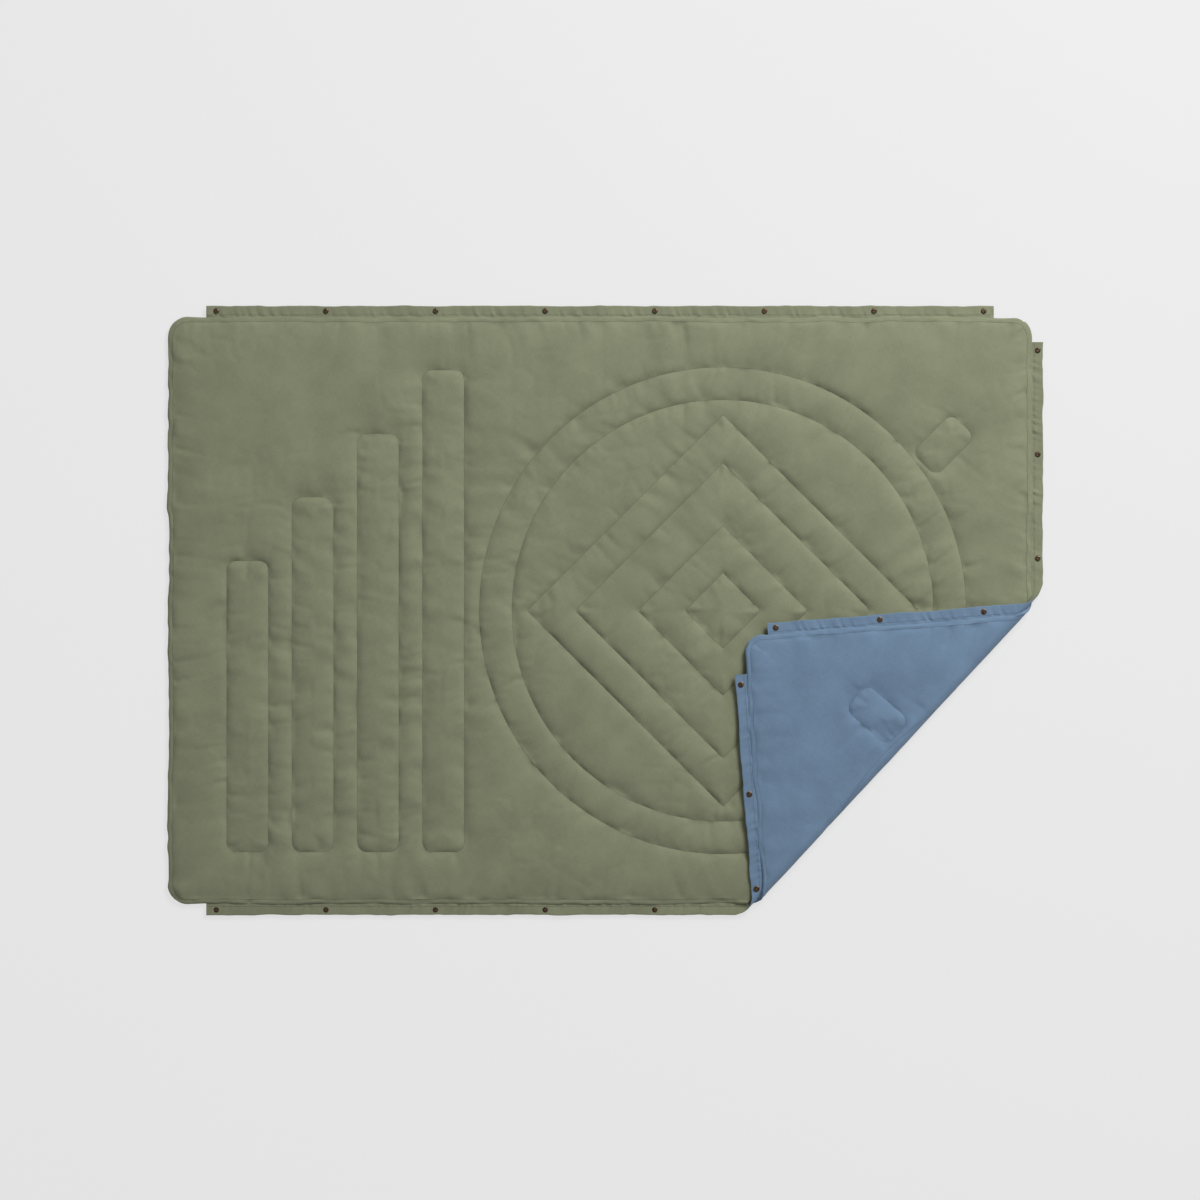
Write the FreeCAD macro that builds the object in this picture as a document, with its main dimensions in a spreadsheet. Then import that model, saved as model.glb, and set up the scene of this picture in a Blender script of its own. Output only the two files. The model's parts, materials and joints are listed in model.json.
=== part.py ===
import FreeCAD, Part
import math
import os

import Sketcher
from FreeCAD import Placement, Rotation, Vector

# Insulated camp blanket: a green shell over a blue lining with fill between
# them, snap strips sewn into three edges, and one corner folded back over the
# top. Millimetres, +Z up, +X along the blanket, origin at the centre of the
# blanket's underside. All sizes are in the sheet below.
SIZES = (
    ("body_length", 2015, "blanket along X, without the strips"),
    ("body_width", 1370, "blanket along Y, without the strips"),
    ("corner_radius", 50, "rounding of the four corners"),
    ("loft", 18, "thickness of the quilted body"),
    ("edge_bevel", 6, "slope of the body's edge, each way"),
    ("shell_ply", 0.5, "thickness of the shell and of the lining"),
    ("seam_allowance", 9, "from the body's edge to the fill's pocket"),
    ("fill_clearance", 0.4, "between the fill's sides and its pocket"),
    ("fold_depth", 490.6, "from the square corner to the fold line"),
    ("fold_angle", 42.8, "slope of the fold line's normal, degrees"),
    ("lay_gap", 1.2, "between the two layers of the fold"),
    ("turn_clearance", 0.9, "between the turn of the fold and the layers"),
    ("turn_room", 0.6, "between the turn and the nearest snap cap"),
    ("strip_reach", 24, "width of a snap strip beyond the body"),
    ("strip_ply", 0.5, "thickness of each face of a strip"),
    ("strip_interfacing", 0.6, "thickness of a strip's stiffener"),
    ("long_strip_inset", 90.5, "from the body's end to a long strip's end"),
    ("short_strip_inset", 60, "from the body's side to the short strip's end"),
    ("hinge_clearance", 0.3, "between the loose strip and the body"),
    ("snap_offset", 12, "from the body's edge to a row of snaps"),
    ("long_snap_margin", 23.5, "from a long strip's end to its first snap"),
    ("short_snap_margin", 19, "from the short strip's end to its first snap"),
    ("long_snap_count", 8, "snaps on each long strip"),
    ("short_snap_count", 6, "snaps on the short strip"),
    ("post_radius", 2.2, "post of a snap cap"),
    ("post_clearance", 0.1, "between a post and the snap half it holds"),
    ("ply_clearance", 0.2, "between a post and the strip"),
    ("cap_radius", 7, "snap cap"),
    ("cap_height", 1.3, "snap cap"),
    ("snap_floor", 0.65, "plate of a snap half under the rolled post"),
    ("roll_height", 0.35, "rolled end of a post"),
    ("socket_roll", 2.9, "radius of the rolled end inside a socket"),
    ("socket_radius", 6.6, "outside of a socket"),
    ("socket_height", 2.8, "height of a socket"),
    ("socket_bore", 3.25, "radius of a socket's mouth"),
    ("groove_depth", 0.7, "spring groove in a socket's wall"),
    ("groove_height", 0.7, "spring groove in a socket's wall"),
    ("groove_lift", 0.4, "from a socket's inner floor to the groove"),
    ("spring_wire", 0.3, "radius of the spring's wire"),
    ("stud_flange", 6.4, "radius of a stud's flange"),
    ("stud_plate", 0.6, "thickness of a stud's flange"),
    ("stud_neck", 2.9, "radius of a stud's neck"),
    ("stud_head", 3.2, "radius of a stud's head"),
    ("stud_neck_height", 0.6, "height of the neck"),
    ("stud_head_height", 0.6, "straight part of the head"),
    ("stud_wall", 0.35, "wall of a stud"),
    ("stud_roll_clearance", 0.05, "between the rolled end and a stud's wall"),
    ("thread_width", 1.2, "row of stitching"),
    ("thread_height", 0.4, "row of stitching"),
    ("edge_stitch_inset", 12, "from the body's edge to the edge stitching"),
    ("strip_stitch_offset", 3, "from the body's edge to the strip stitching"),
    ("column_width", 97, "quilted column"),
    ("column_pitch", 152, "from one column to the next"),
    ("column_end_inset", 187, "from the body's end to the first column"),
    ("column_foot_inset", 123, "from the body's side to the columns' feet"),
    ("column_top_inset", 125, "from the body's side to the tallest top"),
    ("column_step", 148, "height from one column to the next"),
    ("quilt_rounding", 22, "corners of columns and bars"),
    ("ring_end_inset", 721.5, "from the body's end to the ring's centre"),
    ("ring_side_inset", 118, "from the body's side to the ring"),
    ("ring_spacing", 76, "between the two circles of the ring"),
    ("diamond_first", 456, "half diagonal of the largest diamond"),
    ("diamond_second", 344, "half diagonal"),
    ("diamond_third", 198, "half diagonal"),
    ("diamond_fourth", 88, "half diagonal of the smallest diamond"),
    ("diamond_circle", 491, "inner circle that the four diamonds are drawn for"),
    ("bar_length", 130, "quilted bar outside the ring"),
    ("bar_width", 79, "quilted bar outside the ring"),
    ("bar_end_inset", 207.5, "from the body's end to a bar's centre"),
    ("bar_side_inset", 299, "from the body's side to a bar's centre"),
)

COLUMN_COUNT = 4
QUARTER_DIAGONAL = 45
SPRING_ARC = 300

doc = FreeCAD.newDocument("camp_blanket")
sheet = doc.addObject("Spreadsheet::Sheet", "Sizes")
for row, (alias, size, note) in enumerate(SIZES, start=1):
    sheet.set("A%d" % row, alias)
    sheet.set("B%d" % row, str(size))
    sheet.set("C%d" % row, note)
    sheet.setAlias("B%d" % row, alias)
doc.recompute()

subparts = []


def formula(text):
    """Turn size names into references to the sheet."""
    for alias in sorted((entry[0] for entry in SIZES), key=len, reverse=True):
        text = text.replace("@" + alias, "Sizes." + alias)
    return text


def number(text):
    """Work out a formula's value."""
    return float(sheet.evalExpression(formula(text)))


def bind(item, **formulas):
    """Bind properties of an object to formulas."""
    for name, text in formulas.items():
        item.setExpression(name, formula(text))


def place(item, x="0", y="0", z="0", turn=0):
    """Bind an object's position, with a fixed turn about Z in degrees."""
    if turn:
        item.Placement = Placement(Vector(), Rotation(Vector(0, 0, 1), turn))
    for axis, text in (("x", x), ("y", y), ("z", z)):
        item.setExpression("Placement.Base." + axis, formula(text))


def keep(item, label):
    """Mark an object as a sub-part that is written out."""
    item.Label = label
    subparts.append(item)
    return item


# Levels and lines that several pieces share.
TOP_LEVEL = "@loft"
SEAM_LEVEL = "@loft / 2"
TURN_RADIUS = "(@loft + @lay_gap / 2)"
TURN_CLOTH = "(pi * (@loft + @lay_gap / 2))"
FOLD_SINE = "sin(@fold_angle * 1deg)"
FOLD_COSINE = "cos(@fold_angle * 1deg)"
FOLD_REACH = (
    "(@body_length / 2 * %s + @body_width / 2 * %s - @fold_depth)"
    % (FOLD_COSINE, FOLD_SINE)
)
STRIP_HEIGHT = "(2 * @strip_ply + @strip_interfacing)"
STRIP_LOW = "(@loft / 2 - @strip_ply - @strip_interfacing / 2)"
STRIP_HIGH = "(@loft / 2 + @strip_ply + @strip_interfacing / 2)"
LONG_STRIP = "(@body_length - 2 * @long_strip_inset)"
SHORT_STRIP = "(@body_width - 2 * @short_strip_inset)"
LONG_PITCH = "((%s - 2 * @long_snap_margin) / (@long_snap_count - 1))" % LONG_STRIP
SHORT_PITCH = "((%s - 2 * @short_snap_margin) / (@short_snap_count - 1))" % SHORT_STRIP
RING_RADIUS = "(@body_width / 2 - @ring_side_inset)"
RING_CENTRE = "(@body_length / 2 - @ring_end_inset)"

fold_angle = number("@fold_angle")
fold_reach = number(FOLD_REACH)
turn_radius = number(TURN_RADIUS)
turn_cloth = number(TURN_CLOTH)
outward = Vector(number(FOLD_COSINE), -number(FOLD_SINE), 0)
along_fold = Vector(number(FOLD_SINE), number(FOLD_COSINE), 0)

# Where the flat corner goes: back by the cloth that the turn takes up, then
# over the fold line by half a turn.
folded_over = Placement(
    Vector(), Rotation(along_fold, 180), outward * fold_reach + Vector(0, 0, turn_radius)
) * Placement(outward * -turn_cloth, Rotation())


def beyond(name, distance):
    """A block that covers everything past a line parallel to the fold."""
    block = doc.addObject("Part::Box", name)
    bind(block, Length="@body_length", Width="3 * @body_length", Height="10 * @loft")
    half = "1.5 * @body_length"
    block.Placement = Placement(Vector(), Rotation(Vector(0, 0, 1), -fold_angle))
    x = "%s * %s - %s * %s" % (distance, FOLD_COSINE, half, FOLD_SINE)
    y = "-%s * %s - %s * %s" % (distance, FOLD_SINE, half, FOLD_COSINE)
    for axis, text in (("x", x), ("y", y), ("z", "-4 * @loft")):
        block.setExpression("Placement.Base." + axis, formula(text))
    return block


beyond_fold = beyond("beyond_fold", FOLD_REACH)
beyond_turn = beyond("beyond_turn", "(%s + %s)" % (FOLD_REACH, TURN_CLOTH))


def boolean(kind, name, base, tool):
    """A Part::Cut or Part::Common of two objects."""
    item = doc.addObject("Part::" + kind, name)
    item.Base = base
    item.Tool = tool
    return item


def compound(name, items):
    """Several solids as one object."""
    item = doc.addObject("Part::Compound", name)
    item.Links = items
    return item


def on_base(form, label):
    """The share of a flat form that stays on the blanket."""
    return keep(boolean("Cut", label, form, beyond_fold), label)


def on_corner(form, label):
    """The share of a flat form past the turn, folded over."""
    item = keep(boolean("Common", label, form, beyond_turn), label)
    item.Placement = folded_over
    return item


def edges_where(feature, test):
    """Names of a feature's edges that pass a test."""
    found = []
    for index, edge in enumerate(feature.Shape.Edges, start=1):
        if test(edge.BoundBox):
            found.append("Edge%d" % index)
    return found


def rounded_block(name, length, width, height, rounding):
    """A body: a block centred on Z, rounded about its upright edges."""
    body = doc.addObject("PartDesign::Body", name)
    box = body.newObject("PartDesign::AdditiveBox", name + "_box")
    bind(box, Length=length, Width=width, Height=height)
    box.setExpression("Placement.Base.x", formula("-(%s) / 2" % length))
    box.setExpression("Placement.Base.y", formula("-(%s) / 2" % width))
    doc.recompute()
    fillet = body.newObject("PartDesign::Fillet", name + "_fillet")
    upright = edges_where(box, lambda bound: bound.ZLength > 1e-6)
    fillet.Base = (box, upright)
    bind(fillet, Radius=rounding)
    doc.recompute()
    body.Tip = fillet
    return body


def bevel_rim(body, at_top):
    """Slope the upper or lower rim of a rounded block."""
    last = body.Tip
    bound = last.Shape.BoundBox
    level = bound.ZMax if at_top else bound.ZMin
    rim = edges_where(
        last, lambda edge: abs(edge.ZMax - level) + abs(edge.ZMin - level) < 1e-6
    )
    chamfer = body.newObject("PartDesign::Chamfer", body.Name + "_chamfer")
    chamfer.Base = (last, rim)
    bind(chamfer, Size="@edge_bevel")
    doc.recompute()
    body.Tip = chamfer


def plane_of(body, role):
    """One of a body's own origin planes or axes."""
    for feature in body.Origin.OriginFeatures:
        if feature.Role == role:
            return feature
    raise LookupError(role)


def outline(body, name, role, corners):
    """A closed outline of straight lines, each corner bound to two formulas."""
    sketch = body.newObject("Sketcher::SketchObject", name)
    sketch.AttachmentSupport = [(plane_of(body, role), "")]
    sketch.MapMode = "FlatFace"
    spots = [Vector(number(x), number(y), 0) for x, y in corners]
    count = len(spots)
    for index, spot in enumerate(spots):
        sketch.addGeometry(Part.LineSegment(spot, spots[(index + 1) % count]), False)
    for index in range(count):
        sketch.addConstraint(
            Sketcher.Constraint("Coincident", index, 2, (index + 1) % count, 1)
        )
    origin = (-1, 1)
    for index, (spot, texts) in enumerate(zip(spots, corners)):
        for kind, size, text, axis in (
            ("DistanceX", spot.x, texts[0], -2),
            ("DistanceY", spot.y, texts[1], -1),
        ):
            if abs(size) < 1e-9:
                sketch.addConstraint(Sketcher.Constraint("PointOnObject", index, 1, axis))
                continue
            row = sketch.addConstraint(
                Sketcher.Constraint(kind, *origin, index, 1, size)
            )
            sketch.setExpression("Constraints[%d]" % row, formula(text))
    return sketch


def pattern(body, feature, role, pitch, count):
    """Repeat a feature along one of the body's axes."""
    if count < 2:
        return
    item = body.newObject("PartDesign::LinearPattern", body.Name + "_row")
    item.Originals = [feature]
    item.Direction = (plane_of(body, role), [""])
    bind(item, Length="%s * %d" % (pitch, count - 1))
    item.Occurrences = count
    body.Tip = item


def turned_row(name, corners, role, pitch, count):
    """A row of turned pieces: an outline in XZ revolved about Z."""
    body = doc.addObject("PartDesign::Body", name)
    body.AllowCompound = True
    sketch = outline(body, name + "_outline", "XZ_Plane", corners)
    turned = body.newObject("PartDesign::Revolution", name + "_turned")
    turned.Profile = sketch
    turned.ReferenceAxis = (sketch, ["V_Axis"])
    turned.Angle = 360
    doc.recompute()
    body.Tip = turned
    pattern(body, turned, role, pitch, count)
    return body


def spring_row(name, role, pitch, count):
    """A row of open wire rings that sit in the sockets' grooves."""
    body = doc.addObject("PartDesign::Body", name)
    body.AllowCompound = True
    ring = body.newObject("PartDesign::AdditiveTorus", name + "_wire")
    bind(ring, Radius1="@socket_bore + @groove_depth / 2", Radius2="@spring_wire")
    ring.Angle3 = SPRING_ARC
    doc.recompute()
    body.Tip = ring
    pattern(body, ring, role, pitch, count)
    return body


# The quilted body: two shells with the fill in the pocket between them.
top_form = rounded_block("top_form", "@body_length", "@body_width", "@loft / 2", "@corner_radius")
bevel_rim(top_form, True)
place(top_form, z=SEAM_LEVEL)
low_form = rounded_block("low_form", "@body_length", "@body_width", "@loft / 2", "@corner_radius")
bevel_rim(low_form, False)
pocket_form = rounded_block(
    "pocket_form",
    "@body_length - 2 * @seam_allowance",
    "@body_width - 2 * @seam_allowance",
    "@loft - 2 * @shell_ply",
    "@corner_radius - @seam_allowance",
)
place(pocket_form, z="@shell_ply")
fill_form = rounded_block(
    "fill_form",
    "@body_length - 2 * @seam_allowance - 2 * @fill_clearance",
    "@body_width - 2 * @seam_allowance - 2 * @fill_clearance",
    "@loft - 2 * @shell_ply",
    "@corner_radius - @seam_allowance - @fill_clearance",
)
place(fill_form, z="@shell_ply")
top_shell = boolean("Cut", "top_shell_form", top_form, pocket_form)
low_shell = boolean("Cut", "low_shell_form", low_form, pocket_form)
on_base(top_shell, "base_green_shell")
on_base(fill_form, "base_insulation")
on_base(low_shell, "base_blue_lining")
on_corner(top_shell, "corner_green_shell")
on_corner(fill_form, "corner_insulation")
on_corner(low_shell, "corner_blue_lining")


# The turn of the fold: half round, its ends cut on the slant that the cloth
# takes as it goes round.
BOTTOM_END = "((%s * %s - @body_width / 2) / %s)" % (FOLD_REACH, FOLD_SINE, FOLD_COSINE)
RIGHT_END = "((@body_length / 2 - %s * %s) / %s)" % (FOLD_REACH, FOLD_COSINE, FOLD_SINE)
BOTTOM_SLANT = "(%s * %s / %s)" % (TURN_CLOTH, FOLD_SINE, FOLD_COSINE)
RIGHT_SLANT = "(%s * %s / %s)" % (TURN_CLOTH, FOLD_COSINE, FOLD_SINE)
BOTTOM_BAND = "(@strip_reach / %s)" % FOLD_COSINE
RIGHT_BAND = "(@strip_reach / %s)" % FOLD_SINE
TURN_TOP = "(2 * %s)" % TURN_RADIUS


def half_round(name, radius):
    """Half a cylinder along the fold, its round side outward."""
    item = doc.addObject("Part::Cylinder", name)
    bind(item, Radius=radius, Height="2 * @body_length")
    item.Angle = 180
    middle = outward * fold_reach + Vector(0, 0, turn_radius)
    start = middle - along_fold * number("@body_length")
    turn = Rotation(Vector(0, 0, 1), outward, along_fold, "XYZ")
    item.Placement = Placement(start, turn)
    return item


def slanted_prism(name, start, corners):
    """A prism across the fold whose outline lies in the fold's upright plane."""
    body = doc.addObject("PartDesign::Body", name)
    sketch = outline(body, name + "_outline", "YZ_Plane", corners)
    pad = body.newObject("PartDesign::Pad", name + "_pad")
    pad.Profile = sketch
    bind(pad, Length=TURN_TOP)
    doc.recompute()
    body.Tip = pad
    spot = outward * (fold_reach + number("@turn_clearance")) + along_fold * number(start)
    body.Placement = Placement(spot, Rotation(Vector(0, 0, 1), -fold_angle))
    return body


def round_layer(name, low, high):
    """Half a pipe: a layer between two flat levels, carried round the turn."""
    outer = half_round(name + "_outer", "%s - %s" % (TURN_RADIUS, low))
    inner = half_round(name + "_inner", "%s - %s" % (TURN_RADIUS, high))
    return boolean("Cut", name, outer, inner)


turn_span = slanted_prism(
    "turn_span",
    BOTTOM_END,
    (
        ("0", "0"),
        ("%s - %s" % (RIGHT_END, BOTTOM_END), "0"),
        ("%s - %s - %s" % (RIGHT_END, BOTTOM_END, RIGHT_SLANT), TURN_TOP),
        (BOTTOM_SLANT, TURN_TOP),
    ),
)
bottom_band = slanted_prism(
    "bottom_band",
    "%s - %s" % (BOTTOM_END, BOTTOM_BAND),
    (
        ("0", "0"),
        (BOTTOM_BAND, "0"),
        ("%s + %s" % (BOTTOM_BAND, BOTTOM_SLANT), TURN_TOP),
        (BOTTOM_SLANT, TURN_TOP),
    ),
)
right_band = slanted_prism(
    "right_band",
    "%s - %s" % (RIGHT_END, RIGHT_SLANT),
    (
        (RIGHT_SLANT, "0"),
        ("%s + %s" % (RIGHT_SLANT, RIGHT_BAND), "0"),
        (RIGHT_BAND, TURN_TOP),
        ("0", TURN_TOP),
    ),
)
lining_layer = round_layer("lining_layer", "0", "@shell_ply")
fill_layer = round_layer("fill_layer", "(@shell_ply + @fill_clearance)", "@loft")
keep(boolean("Common", "turn_blue_lining", lining_layer, turn_span), "turn_blue_lining")
keep(boolean("Common", "turn_insulation", fill_layer, turn_span), "turn_insulation")


# The snap strips: a green face, a stiffener and a blue face, sewn into the
# seam halfway up the body's edge, with a hole for each snap's post.
PLIES = (
    ("blue", STRIP_LOW, "@strip_ply"),
    ("interfacing", "(%s + @strip_ply)" % STRIP_LOW, "@strip_interfacing"),
    ("green", "(%s - @strip_ply)" % STRIP_HIGH, "@strip_ply"),
)


def fold_distance(x, y):
    """How far past the fold line a flat spot lies."""
    return Vector(x, y, 0).dot(outward) - fold_reach


class SnapLine:
    """One strip's share on one side of the fold, and its line of snaps."""

    def __init__(self, label, lengthwise, halves, folded, line, edge, groups):
        self.label = label
        self.lengthwise = lengthwise
        self.halves = halves
        self.folded = folded
        self.line = line
        self.edge = edge
        self.groups = groups
        self.pitch = LONG_PITCH if lengthwise else SHORT_PITCH
        self.length = LONG_STRIP if lengthwise else SHORT_STRIP
        self.role = "X_Axis" if lengthwise else "Y_Axis"

    def in_order(self, along, across):
        """Two values as X and Y."""
        return (along, across) if self.lengthwise else (across, along)

    def ply(self, name, level, height):
        """One layer of the whole strip, with a hole for each post."""
        body = doc.addObject("PartDesign::Body", name)
        box = body.newObject("PartDesign::AdditiveBox", name + "_box")
        x, y = self.in_order(self.length, "@strip_reach")
        bind(box, Length=x, Width=y, Height=height)
        x, y = self.in_order("-%s / 2" % self.length, self.edge)
        box.setExpression("Placement.Base.x", formula(x))
        box.setExpression("Placement.Base.y", formula(y))
        for index, (start, count) in enumerate(self.groups):
            hole = body.newObject("PartDesign::SubtractiveCylinder", "%s_hole_%d" % (name, index))
            bind(hole, Radius="@post_radius + @ply_clearance", Height=height)
            x, y = self.in_order(start, self.line)
            hole.setExpression("Placement.Base.x", formula(x))
            hole.setExpression("Placement.Base.y", formula(y))
            doc.recompute()
            body.Tip = hole
            pattern(body, hole, self.role, self.pitch, count)
        place(body, z=level)
        return body


def split_line(lengthwise, line, first, pitch, count):
    """Groups of snaps that stay flat and that fold over, along one strip.

    A snap that would fall in the turn sits just past it instead.
    """
    room = number(SNAP_ROOM)
    past_turn = turn_cloth + room
    kept, folded = [], []
    for index in range(count):
        along = number(first) + number(pitch) * index
        spot = (along, number(line)) if lengthwise else (number(line), along)
        distance = fold_distance(*spot)
        if distance < -room:
            kept.append(index)
        elif distance > past_turn:
            folded.append(index)
    start = "(%s + %s * %d)"
    kept_groups = [(start % (first, pitch, kept[0]), len(kept))]
    folded_groups = [(start % (first, pitch, folded[0]), len(folded))]
    if len(kept) + len(folded) < count:
        folded_groups.append((MOVED_ALONG_X if lengthwise else MOVED_ALONG_Y, 1))
    return kept_groups, folded_groups


LONG_FIRST = "(@long_snap_margin - %s / 2)" % LONG_STRIP
SHORT_FIRST = "(@short_snap_margin - %s / 2)" % SHORT_STRIP
TOP_LINE = "(@body_width / 2 + @hinge_clearance + @snap_offset)"
BOTTOM_LINE = "(-@body_width / 2 - @snap_offset)"
RIGHT_LINE = "(@body_length / 2 + @snap_offset)"
SNAP_ROOM = "(@cap_radius + @turn_room)"
PAST_TURN = "(%s + %s + %s)" % (FOLD_REACH, TURN_CLOTH, SNAP_ROOM)
MOVED_ALONG_X = "((%s + %s * %s) / %s)" % (PAST_TURN, BOTTOM_LINE, FOLD_SINE, FOLD_COSINE)
MOVED_ALONG_Y = "((%s * %s - %s) / %s)" % (RIGHT_LINE, FOLD_COSINE, PAST_TURN, FOLD_SINE)

long_count = int(number("@long_snap_count"))
short_count = int(number("@short_snap_count"))
top_edge = "@body_width / 2 + @hinge_clearance"
bottom_edge = "-@body_width / 2 - @strip_reach"
right_edge = "@body_length / 2"
bottom_kept, bottom_folded = split_line(True, BOTTOM_LINE, LONG_FIRST, LONG_PITCH, long_count)
right_kept, right_folded = split_line(False, RIGHT_LINE, SHORT_FIRST, SHORT_PITCH, short_count)
top_groups = [(LONG_FIRST, long_count)]
snap_lines = (
    SnapLine("top", True, "sockets", False, TOP_LINE, top_edge, top_groups),
    SnapLine("bottom", True, "studs", False, BOTTOM_LINE, bottom_edge, bottom_kept),
    SnapLine("right", False, "sockets", False, RIGHT_LINE, right_edge, right_kept),
    SnapLine("corner_bottom", True, "studs", True, BOTTOM_LINE, bottom_edge, bottom_folded),
    SnapLine("corner_right", False, "studs", True, RIGHT_LINE, right_edge, right_folded),
)

for ply, level, height in PLIES:
    for line in snap_lines:
        form = line.ply("%s_%s_form" % (line.label, ply), level, height)
        label = "%s_strip_%s" % (line.label, ply)
        if line.folded:
            on_corner(form, label)
        elif line.label == "top":
            keep(form, label)
        else:
            on_base(form, label)
    layer = round_layer("turn_%s_layer" % ply, level, "(%s + %s)" % (level, height))
    for edge, band in (("bottom", bottom_band), ("right", right_band)):
        label = "turn_%s_strip_%s" % (edge, ply)
        keep(boolean("Common", label, layer, band), label)


# The snaps. Each cap has a post that goes through the strip and is rolled over
# inside a socket or a stud. Heights start at the cap's crown, or at the face
# of the strip that the socket or stud sits on.
POST_TOP = "@cap_height + %s + @snap_floor" % STRIP_HEIGHT
STUD_NECK_TOP = "@stud_plate + @stud_neck_height"
STUD_HEAD_LOW = "%s + @stud_head - @stud_neck" % STUD_NECK_TOP
STUD_HEAD_TOP = "%s + @stud_head_height" % STUD_HEAD_LOW
STUD_TOP = "%s + @stud_wall" % STUD_HEAD_TOP
STUD_HOLLOW = "@stud_neck - @stud_wall"
SOCKET_FLOOR = "@snap_floor + @roll_height"
GROOVE_LOW = "%s + @groove_lift" % SOCKET_FLOOR


def cap_outline(roll):
    """Half section of a cap with its post and the post's rolled end."""
    return (
        ("0", "0"),
        ("@cap_radius / 2", "0"),
        ("@cap_radius * 0.83", "@cap_height * 0.15"),
        ("@cap_radius", "@cap_height * 0.6"),
        ("@cap_radius", "@cap_height"),
        ("@post_radius", "@cap_height"),
        ("@post_radius", POST_TOP),
        (roll, POST_TOP),
        (roll, POST_TOP + " + @roll_height"),
        ("0", POST_TOP + " + @roll_height"),
    )


SOCKET_OUTLINE = (
    ("@post_radius + @post_clearance", "0"),
    ("@socket_radius * 0.92", "0"),
    ("@socket_radius", "@socket_height * 0.3"),
    ("@socket_radius * 0.85", "@socket_height * 0.8"),
    ("@socket_radius * 0.66", "@socket_height"),
    ("@socket_bore", "@socket_height"),
    ("@socket_bore", GROOVE_LOW + " + @groove_height"),
    ("@socket_bore + @groove_depth", GROOVE_LOW + " + @groove_height"),
    ("@socket_bore + @groove_depth", GROOVE_LOW),
    ("@socket_bore", GROOVE_LOW),
    ("@socket_bore", SOCKET_FLOOR),
    ("@socket_roll + @stud_roll_clearance", SOCKET_FLOOR),
    ("@socket_roll + @stud_roll_clearance", "@snap_floor"),
    ("@post_radius + @post_clearance", "@snap_floor"),
)
STUD_OUTLINE = (
    ("@post_radius + @post_clearance", "0"),
    ("@stud_flange", "0"),
    ("@stud_flange", "@stud_plate * 0.6"),
    ("@stud_flange * 0.9", "@stud_plate"),
    ("@stud_neck", "@stud_plate"),
    ("@stud_neck", STUD_NECK_TOP),
    ("@stud_head", STUD_HEAD_LOW),
    ("@stud_head", STUD_HEAD_TOP),
    ("@stud_head - @stud_wall", STUD_TOP),
    ("@stud_head / 3", STUD_TOP),
    ("@stud_head / 3", STUD_HEAD_TOP),
    (STUD_HOLLOW, STUD_HEAD_TOP),
    (STUD_HOLLOW, "@snap_floor"),
    ("@post_radius + @post_clearance", "@snap_floor"),
)
SOCKET_ROLL = "@socket_roll"
STUD_ROLL = "%s - @stud_roll_clearance" % STUD_HOLLOW


def snap_level(kind):
    """Height of a piece's lowest point when it is on its strip."""
    if kind == "caps":
        return "%s - @cap_height" % STRIP_LOW
    if kind == "springs":
        return "%s + %s + @groove_height / 2" % (STRIP_HIGH, GROOVE_LOW)
    return STRIP_HIGH


def snap_row(line, kind, roll):
    """One kind of piece along one strip."""
    label = "%s_strip_%s" % (line.label, kind)
    rows = []
    for index, (start, count) in enumerate(line.groups):
        name = "%s_%d" % (label, index)
        if kind == "springs":
            body = spring_row(name, line.role, line.pitch, count)
        else:
            corners = {"sockets": SOCKET_OUTLINE, "studs": STUD_OUTLINE}.get(kind)
            body = turned_row(name, corners or cap_outline(roll), line.role, line.pitch, count)
        x, y = line.in_order(start, line.line)
        place(body, x, y, snap_level(kind))
        rows.append(body)
    item = rows[0] if len(rows) == 1 and not line.folded else compound(label, rows)
    if line.folded:
        item.Placement = folded_over
    keep(item, label)


for line in snap_lines:
    if line.halves == "sockets":
        kinds, roll = ("caps", "sockets", "springs"), SOCKET_ROLL
    else:
        kinds, roll = ("caps", "studs"), STUD_ROLL
    for kind in kinds:
        snap_row(line, kind, roll)


# The stitching: low ribbons that lie on the cloth along each row of thread.
def ribbon(name, length, width, rounding, height):
    """A row of thread round a rounded oblong."""
    outer = rounded_block(
        name + "_outer",
        "%s + @thread_width" % length,
        "%s + @thread_width" % width,
        height,
        "%s + @thread_width / 2" % rounding,
    )
    inner = rounded_block(
        name + "_inner",
        "%s - @thread_width" % length,
        "%s - @thread_width" % width,
        height,
        "%s - @thread_width / 2" % rounding,
    )
    return outer, inner


def oblong(name, length, width, rounding, x, y, z, turn=0):
    """A ribbon round an oblong, placed by its centre."""
    blocks = ribbon(name, length, width, rounding, "@thread_height")
    for block in blocks:
        place(block, x, y, z, turn)
    return boolean("Cut", name, *blocks)


def circle(name, radius):
    """A ribbon round a circle about the ring's centre."""
    sides = []
    for side, sign in (("outer", "+"), ("inner", "-")):
        item = doc.addObject("Part::Cylinder", "%s_%s" % (name, side))
        bind(item, Radius="%s %s @thread_width / 2" % (radius, sign), Height="@thread_height")
        place(item, RING_CENTRE, "0", TOP_LEVEL)
        sides.append(item)
    return boolean("Cut", name, *sides)


def diamond(name, half_diagonal):
    """A ribbon round a square that stands on its corner."""
    sides = []
    for side, sign in (("outer", "+"), ("inner", "-")):
        item = doc.addObject("Part::Prism", "%s_%s" % (name, side))
        item.Polygon = 4
        reach = "%s %s @thread_width / sqrt(2)" % (half_diagonal, sign)
        bind(item, Circumradius=reach, Height="@thread_height")
        place(item, RING_CENTRE, "0", TOP_LEVEL)
        sides.append(item)
    return boolean("Cut", name, *sides)


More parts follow.
